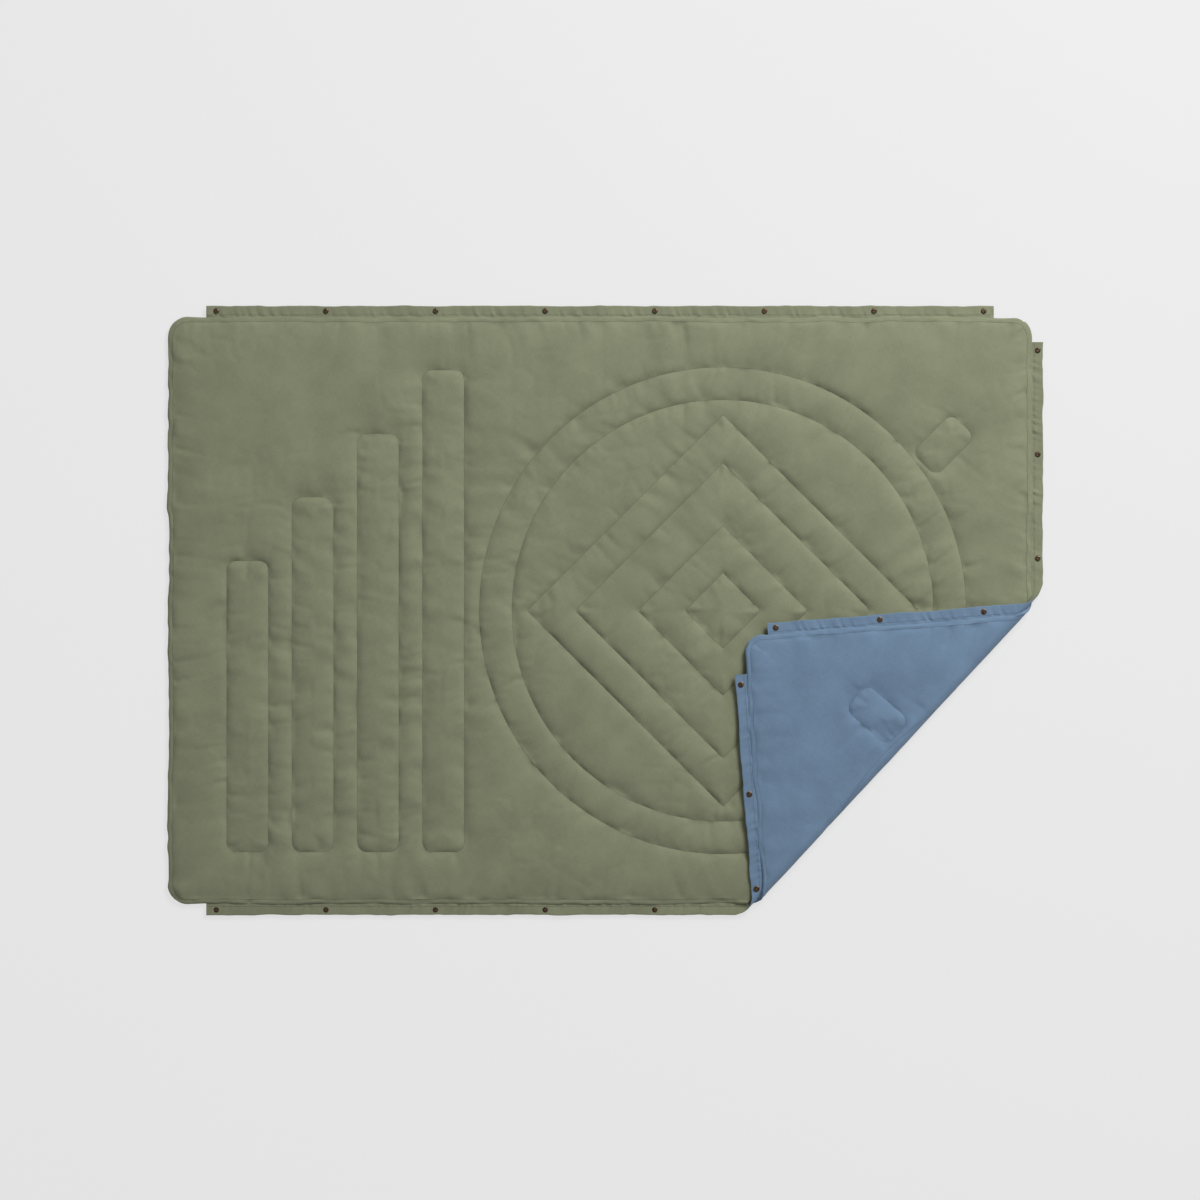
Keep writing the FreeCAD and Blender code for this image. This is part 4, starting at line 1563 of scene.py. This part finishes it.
@dataclass
class SnapStrip:
    """One strip of doubled cloth along an edge, with its two faces."""

    fold: Fold
    outline: Outline
    loft: Loft
    finishes: Finishes
    edge: StripEdge
    low: Vector
    high: Vector
    snaps: Array
    tuck: float = 0.009
    ripple: float = 0.0021
    gather: float = 0.0026
    gather_spacing: float = 0.0075
    gather_reach: float = 0.014
    broad_sway: float = 0.0011
    fine_sway: float = 0.0006
    snap_calm: float = 0.012
    turn_calm: float = 0.012
    pitch: float = 0.0032
    reach: float = 0.024
    turn_rows: int = 16
    lines: tuple[float, ...] = (
        -0.001, 0.001, 0.003, 0.0045, 0.007, 0.0105, 0.0145, 0.019, 0.0225
    )

    @property
    def lengthwise(self) -> bool:
        """Does the strip run along X?"""
        return self.edge is not StripEdge.RIGHT

    @property
    def outward(self) -> float:
        """1 where the strip points along its axis, -1 where it points back."""
        return -1.0 if self.edge is StripEdge.BOTTOM else 1.0

    @property
    def seam_line(self) -> float:
        """Where the blanket's edge is, along the strip's own width."""
        span = self.outline.width if self.lengthwise else self.outline.length
        return self.outward * span / 2

    def parts_of(self, spots: Array) -> tuple[Array, Array]:
        """Place along the strip and outward from the blanket's edge.

        Args:
            spots: Flat places.

        Returns:
            The distance along and the distance outward of each place.
        """
        along = spots[:, 0] if self.lengthwise else spots[:, 1]
        across = spots[:, 1] if self.lengthwise else spots[:, 0]
        return along, self.outward * (across - self.seam_line)

    def flat_mesh(self) -> FlatMesh:
        """The strip's grid, with the part tucked into the blanket's edge.

        Returns:
            The flat mesh.
        """
        axis = 0 if self.lengthwise else 1
        start, end = self.low[axis], self.high[axis]
        count = int((end - start) / self.pitch)
        along = np.linspace(start, end, count + 1)
        reach = self.high[1 - axis] - self.low[1 - axis]
        outs = np.array([-self.tuck, *self.lines])
        outs = np.append(outs[outs < reach - 0.001], [reach - 0.0006, reach])
        across = self.seam_line + self.outward * outs
        if self.outward < 0:
            across = across[::-1]
        if self.lengthwise:
            return FlatMesh.grid(along, across)
        return FlatMesh.grid(across, along)

    def level(self, side: Side) -> Callable[[Array], Array]:
        """Height of one face over flat places.

        Args:
            side: The face.

        Returns:
            A function of flat places.
        """

        def height(spots: Array) -> Array:
            """Height of this face over flat places.

            Args:
                spots: Flat places.

            Returns:
                The height of each.
            """
            along, out = self.parts_of(spots)
            noise = SoftNoise(101 + list(StripEdge).index(self.edge))
            lean = along + 0.35 * out
            wave = 0.55 * noise.along(along, 0.034, 1.0) + 0.45 * noise.along(along, 0.08, 2.0)
            gather = noise.along(lean, self.gather_spacing, 3.0)
            gather = gather * (0.6 + 0.4 * noise.along(along, 0.06, 4.0))
            calm = np.ones(len(along))
            for snap in self.snaps:
                calm *= 1.0 - np.exp(-(((along - snap) / self.snap_calm) ** 2))
            grow = smooth_step(out, 0.001, self.reach)
            tight = np.exp(-np.maximum(out - 0.003, 0.0) / self.gather_reach)
            tight = tight * smooth_step(out, -0.001, 0.002)
            middle = (self.low[2] + self.high[2]) / 2
            half = (self.high[2] - self.low[2]) / 2
            rim = np.clip((out - self.reach + 0.001) / 0.001, 0.0, 1.0)
            bulge = half * np.sqrt(1.0 - rim**2)
            past = self.fold.distance(spots)
            away = np.maximum(-past, past - self.fold.cloth)
            calm *= smooth_step(away, -0.002, self.turn_calm)
            lift = (self.ripple * wave * grow + self.gather * gather * tight) * calm
            return middle + lift + (bulge if side is Side.GREEN else -bulge)

        return height

    def sway(self, spots: Array) -> Array:
        """Small waves of the strip's outer edge.

        Args:
            spots: Flat places.

        Returns:
            How far each place moves, in X and Y.
        """
        along, out = self.parts_of(spots)
        noise = SoftNoise(121 + list(StripEdge).index(self.edge))
        wave = self.broad_sway * noise.along(along, 0.045, 1.0)
        wave = wave + self.fine_sway * noise.along(along, 0.018, 2.0)
        moved = np.zeros((len(spots), 2))
        axis = 1 if self.lengthwise else 0
        moved[:, axis] = self.outward * wave * smooth_step(out, 0.0, self.reach)
        return moved

    def build(self) -> None:
        """Make both faces of the strip."""
        mesh = self.flat_mesh()
        name = self.edge.value
        if self.edge is StripEdge.TOP:
            self.build_loose(mesh)
            return
        steps = np.linspace(0.0, self.fold.cloth, self.turn_rows + 1)
        mesh = mesh.cut_along_fold(self.fold, steps)
        for side, slot in ((Side.GREEN, "shell_green"), (Side.BLUE, "lining_blue")):
            layers = ("green", "interfacing") if side is Side.GREEN else ("blue",)
            nodes = {
                Part.BLANKET: [f"{name}_strip_{layer}" for layer in layers]
                + [f"turn_{name}_strip_{layer}" for layer in layers],
                Part.CORNER: [f"corner_{name}_strip_{layer}" for layer in layers],
            }
            rests = {
                Part.BLANKET: ["base_green_shell"],
                Part.CORNER: ["corner_green_shell"],
            }
            ClothPiece(
                self.fold, f"{name}_strip_{side.value}", side, mesh, self.level(side),
                self.sway, self.finishes.cloth(side), slot, nodes, rests,
                self.fold.radius - (self.low[2] + self.high[2]) / 2,
            ).build()

    def build_loose(self, mesh: FlatMesh) -> None:
        """Make the strip that folds by itself.

        Args:
            mesh: Its flat grid.
        """
        for side, slot in ((Side.GREEN, "shell_green"), (Side.BLUE, "lining_blue")):
            layers = ("green", "interfacing") if side is Side.GREEN else ("blue",)
            levels = self.level(side)(mesh.spots)
            points = np.column_stack([mesh.spots + self.sway(mesh.spots), levels])
            faces = mesh.faces
            if side is Side.BLUE:
                faces = [tuple(reversed(face)) for face in faces]
            piece = build_object(
                f"loose_strip_{side.value}", points, faces, self.finishes.cloth(side), mesh.spots
            )
            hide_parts(*[f"top_strip_{layer}" for layer in layers])
            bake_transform(piece)
            LOG.info("loose strip, %s face: %d points", side.value, len(points))


@dataclass
class StitchRows:
    """Single stitches along rows of sewing, laid on the cloth."""

    fold: Fold
    pitch: float = 0.0046
    stitch: float = 0.0036
    thread: float = 0.0008

    def build(
        self, name: str, seams: Sequence[Seam], side: Side, level: Callable[[Array], Array],
        sway: Callable[[Array], Array], material: bpy.types.Material,
        nodes: dict[bool, list[str]], arm: float, halves: Sequence[bool] = (False, True),
        loose: bool = False,
    ) -> None:
        """Make the stitches of some rows.

        Args:
            name: The pieces' name.
            seams: The rows.
            side: The face that they show on.
            level: Height of that face over flat places.
            sway: Its sideways waves.
            material: The thread.
            nodes: The CAD nodes replaced on each side of the fold.
            arm: Distance of the cloth from the middle of the turn; not used.
            halves: Which sides of the fold to make.
            loose: True for rows on the loose strip.
        """
        walks = [seam.walk(self.pitch) for seam in seams]
        spots = np.vstack([spot for spot, _ in walks])
        headings = np.vstack([heading for _, heading in walks])
        lift = self.thread * (0.45 if side is Side.GREEN else -0.45)
        sides = np.column_stack([-headings[:, 1], headings[:, 0]])
        half, thick = self.stitch / 2, self.thread / 2
        waist = ((1, 0), (0, 1), (-1, 0), (0, -1))
        ring = [(along, out, up) for along in (-0.55, 0.55) for out, up in waist]
        ring = [(-1.0, 0, 0), *ring, (1.0, 0, 0)]
        faces = [(0, 1, 2), (0, 2, 3), (0, 3, 4), (0, 4, 1)]
        faces += [(i, i + 4, i % 4 + 5, i % 4 + 1) for i in range(1, 5)]
        faces += [(9, 6, 5), (9, 7, 6), (9, 8, 7), (9, 5, 8)]
        past = self.fold.distance(spots)
        for folded in halves:
            over = past > self.fold.cloth / 2
            chosen = np.ones(len(past), bool) if loose else over == folded
            if not chosen.any():
                continue
            places, ahead, aside = spots[chosen], headings[chosen], sides[chosen]
            heights = np.maximum(level(places) + lift, self.thread / 2)
            shift = sway(places)
            points = []
            for along, out, up in ring:
                flat = places + ahead * along * half + aside * out * thick
                sink = 0.0 if abs(along) < 1.0 else -lift * 1.6
                points.append(np.column_stack([flat + shift, heights + sink + up * thick]))
            stacked = np.stack(points, axis=1).reshape(-1, 3)
            placed = stacked if loose else self.fold.place(stacked)
            base = (np.arange(len(places)) * len(ring))[:, None]
            all_faces = []
            for face in faces:
                all_faces += [tuple(row) for row in (base + np.array(face)).tolist()]
            prefix = "loose" if loose else (Part.CORNER if folded else Part.BLANKET).value
            piece = build_object(f"{prefix}_{name}", placed, all_faces, material)
            if nodes.get(folded):
                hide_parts(*nodes[folded])
            if loose:
                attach(piece, Part.LOOSE_STRIP.value)
            else:
                ride_over_fold(piece, folded)
            LOG.info("%s_%s: %d stitches", prefix, name, len(places))


@dataclass
class Snaps:
    """The snaps keep their CAD shape and get their metal."""

    finishes: Finishes

    def dress(self) -> None:
        """Give every snap piece its finish."""
        for name, node in frame["nodes"].items():
            if name.endswith(("caps", "sockets", "studs")):
                self._cover(node, self.finishes.brass)
            elif name.endswith("springs"):
                self._cover(node, self.finishes.steel)

    def _cover(self, node: bpy.types.Object, material: bpy.types.Material) -> None:
        """Put one material on a node's slots.

        Args:
            node: The CAD node.
            material: Its finish.
        """
        if not node.material_slots:
            node.data.materials.append(material)
        for slot in node.material_slots:
            slot.material = material
        LOG.info("%s: %s", node.name, material.name)


@dataclass
class Studio:
    """Plain pale floor, soft light and a camera straight overhead."""

    view_width: float = 2.792
    lens: float = 120.0
    sensor: float = 36.0
    offset: float = 0.0244
    blanket_height: float = 0.018
    backdrop: float = 0.807
    evenness: float = 0.85
    floor_half: float = 30.0
    floor_gap: float = 0.0005
    sky: float = 0.36
    lamp_size: float = 2.8
    lamp_power: float = 490.0
    lamp_distance: float = 7.0
    lamp_rise: float = 40.0
    lamp_turn: float = 55.0

    def build(self) -> None:
        """Make the floor, the lamps and the camera."""
        self._floor()
        self._lights()
        self._camera()
        scene = bpy.context.scene
        scene.view_settings.view_transform = "Standard"

    def _floor(self) -> None:
        """A wide pale floor that shows the blanket's soft shadow."""
        sheet = NodeSheet("studio_floor")
        diffuse = sheet.add("ShaderNodeBsdfDiffuse")
        grain = sheet.noise(sheet.object_place(), 3.0, 2.0)
        pale = (self.backdrop,) * 3
        shade = sheet.shades(grain, tinted(pale, 0.995), tinted(pale, 1.005), 0.3, 0.7)
        sheet.link(shade, diffuse.inputs["Color"])
        glow = sheet.add("ShaderNodeEmission")
        glow.inputs["Color"].default_value = (*pale, 1.0)
        rays = sheet.add("ShaderNodeLightPath").outputs
        seen = sheet.math("MAXIMUM", rays["Is Camera Ray"], rays["Is Glossy Ray"])
        mix = sheet.add("ShaderNodeMixShader")
        sheet.link(sheet.math("MULTIPLY", seen, self.evenness), mix.inputs["Fac"])
        sheet.link(diffuse.outputs["BSDF"], mix.inputs[1])
        sheet.link(glow.outputs["Emission"], mix.inputs[2])
        output = sheet.add("ShaderNodeOutputMaterial")
        sheet.link(mix.outputs["Shader"], output.inputs["Surface"])
        corners = ((-1.0, -1.0), (1.0, -1.0), (1.0, 1.0), (-1.0, 1.0))
        reach = self.floor_half
        points = np.array([(reach * x, reach * y, -self.floor_gap) for x, y in corners])
        floor = build_object("studio_floor", points, [(0, 1, 2, 3)], sheet.material)

    def _lights(self) -> None:
        """One broad soft lamp and an even sky."""
        world = bpy.data.worlds.new("studio_sky")
        world.use_nodes = True
        sky = world.node_tree.nodes["Background"]
        sky.inputs["Color"].default_value = (1.0, 1.0, 1.0, 1.0)
        sky.inputs["Strength"].default_value = self.sky
        bpy.context.scene.world = world
        data = bpy.data.lights.new("soft_box", "AREA")
        data.shape = "DISK"
        data.size = self.lamp_size
        data.energy = self.lamp_power
        lamp = bpy.data.objects.new("soft_box", data)
        rise, turn = math.radians(self.lamp_rise), math.radians(self.lamp_turn)
        flat = math.cos(rise)
        toward = Vector((flat * math.cos(turn), flat * math.sin(turn), math.sin(rise)))
        lamp.location = toward * self.lamp_distance
        lamp.rotation_euler = toward.to_track_quat("Z", "Y").to_euler()
        bpy.context.scene.collection.objects.link(lamp)

    def _camera(self) -> None:
        """A long lens straight above the blanket."""
        data = bpy.data.cameras.new("overhead")
        data.lens = self.lens
        data.sensor_width = self.sensor
        camera = bpy.data.objects.new("overhead", data)
        distance = self.view_width * self.lens / self.sensor
        camera.location = (0.0, self.offset, distance + self.blanket_height)
        camera.rotation_euler = (0.0, 0.0, 0.0)
        data.clip_end = distance * 4
        bpy.context.scene.collection.objects.link(camera)
        bpy.context.scene.camera = camera


def snap_places(node: str, axis: int) -> Array:
    """Where each snap of a node is along its strip.

    Args:
        node: A node of caps.
        axis: 0 for a strip along X, 1 for one along Y.

    Returns:
        The middle of each snap.
    """
    mesh = frame["nodes"][node].data
    points = np.empty(len(mesh.vertices) * 3)
    mesh.vertices.foreach_get("co", points)
    values = np.sort(points.reshape(-1, 3)[:, axis])
    breaks = np.nonzero(np.diff(values) > SNAP_GAP)[0] + 1
    groups = np.split(values, breaks)
    return np.array([(group[0] + group[-1]) / 2 for group in groups])


def make_strips(fold: Fold, outline: Outline, loft: Loft, finishes: Finishes) -> list[SnapStrip]:
    """Work out the three strips from their CAD boxes.

    Args:
        fold: The fold.
        outline: The blanket's outline.
        loft: Its heights.
        finishes: Its materials.

    Returns:
        The strips.
    """
    top_low, top_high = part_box("top_strip_green")
    blue_low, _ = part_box("top_strip_blue")
    levels = (blue_low[2], top_high[2])
    reach = top_high[1] - outline.width / 2
    long_snaps = snap_places("top_strip_caps", 0)
    strips = []
    for edge in StripEdge:
        if edge is StripEdge.RIGHT:
            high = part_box("right_strip_green")[1]
            low = Vector((outline.length / 2, -high[1], levels[0]))
            top = Vector((high[0], high[1], levels[1]))
            near = snap_places("right_strip_caps", 1)
            snaps = np.concatenate([-near, near])
        else:
            line = outline.width / 2
            ends = (line, line + reach) if edge is StripEdge.TOP else (-line - reach, -line)
            low = Vector((top_low[0], ends[0], levels[0]))
            top = Vector((top_high[0], ends[1], levels[1]))
            snaps = long_snaps
        strips.append(SnapStrip(fold, outline, loft, finishes, edge, low, top, snaps))
    return strips


def stitch_all(
    fold: Fold, pattern: QuiltPattern, loft: Loft, strips: Sequence[SnapStrip], finishes: Finishes
) -> None:
    """Sew every row of the blanket.

    Args:
        fold: The fold.
        pattern: Where the rows run.
        loft: The cloth's heights.
        strips: The snap strips.
        finishes: The threads.
    """
    rows = StitchRows(fold)
    groups = (
        ("column_stitching", pattern.columns, "base_column_stitching", None),
        ("ring_stitching", pattern.rings, "base_ring_stitching", None),
        ("diamond_stitching", pattern.diamonds, "base_diamond_stitching", None),
        ("bar_stitching", pattern.bars, "base_bar_stitching", "corner_bar_stitching"),
        ("edge_stitching", pattern.edge, "base_edge_stitching", "corner_edge_stitching"),
    )
    for name, seams, base_node, corner_node in groups:
        for side in Side:
            shown = side is Side.GREEN
            nodes = {
                False: [base_node] if shown else [],
                True: [corner_node] if corner_node and not shown else [],
            }
            level = loft.top if shown else loft.bottom
            rows.build(
                f"{name}_{side.value}", seams, side, level, loft.sway,
                finishes.thread(side), nodes, fold.radius - (loft.height if shown else 0.0),
            )
    for strip in strips:
        axis = 0 if strip.lengthwise else 1
        start, end = strip.low[axis], strip.high[axis]
        line = strip.seam_line + strip.outward * STRIP_SEAM_INSET
        ends = [[start + STRIP_SEAM_END, line], [end - STRIP_SEAM_END, line]]
        if not strip.lengthwise:
            ends = [[y, x] for x, y in ends]
        seam = Seam(np.array(ends), 61)
        name = strip.edge.value
        for side in Side:
            shown = side is Side.GREEN
            loose = strip.edge is StripEdge.TOP
            if loose:
                nodes = {False: ["top_strip_stitching"] if shown else []}
            else:
                nodes = {
                    False: [f"{name}_strip_stitching"] if shown else [],
                    True: [] if shown else [f"corner_{name}_strip_stitching"],
                }
            rows.build(
                f"{name}_strip_stitching_{side.value}", [seam], side,
                strip.level(side), strip.sway,
                finishes.thread(side), nodes, fold.radius - loft.height / 2,
                (False,) if loose else (False, True), loose,
            )


def main() -> None:
    logging.basicConfig(level=logging.INFO, format="%(name)s: %(message)s")
    fold = Fold.from_frame()
    _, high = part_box("base_green_shell")
    outline = Outline(2 * high[0], 2 * high[1], CORNER_ROUNDING)
    pattern = QuiltPattern()
    pattern.lay_out(outline)
    loft = Loft(outline, pattern, fold, high[2])
    loft.cloth = QuiltCloth(outline, pattern).settle()
    finishes = Finishes()
    QuiltedBody(fold, outline, loft, finishes).build()
    TurnEnds(fold, outline, loft, finishes).build()
    strips = make_strips(fold, outline, loft, finishes)
    for strip in strips:
        strip.build()
    stitch_all(fold, pattern, loft, strips, finishes)
    Snaps(finishes).dress()
    Studio().build()


if __name__ == "__main__":
    main()
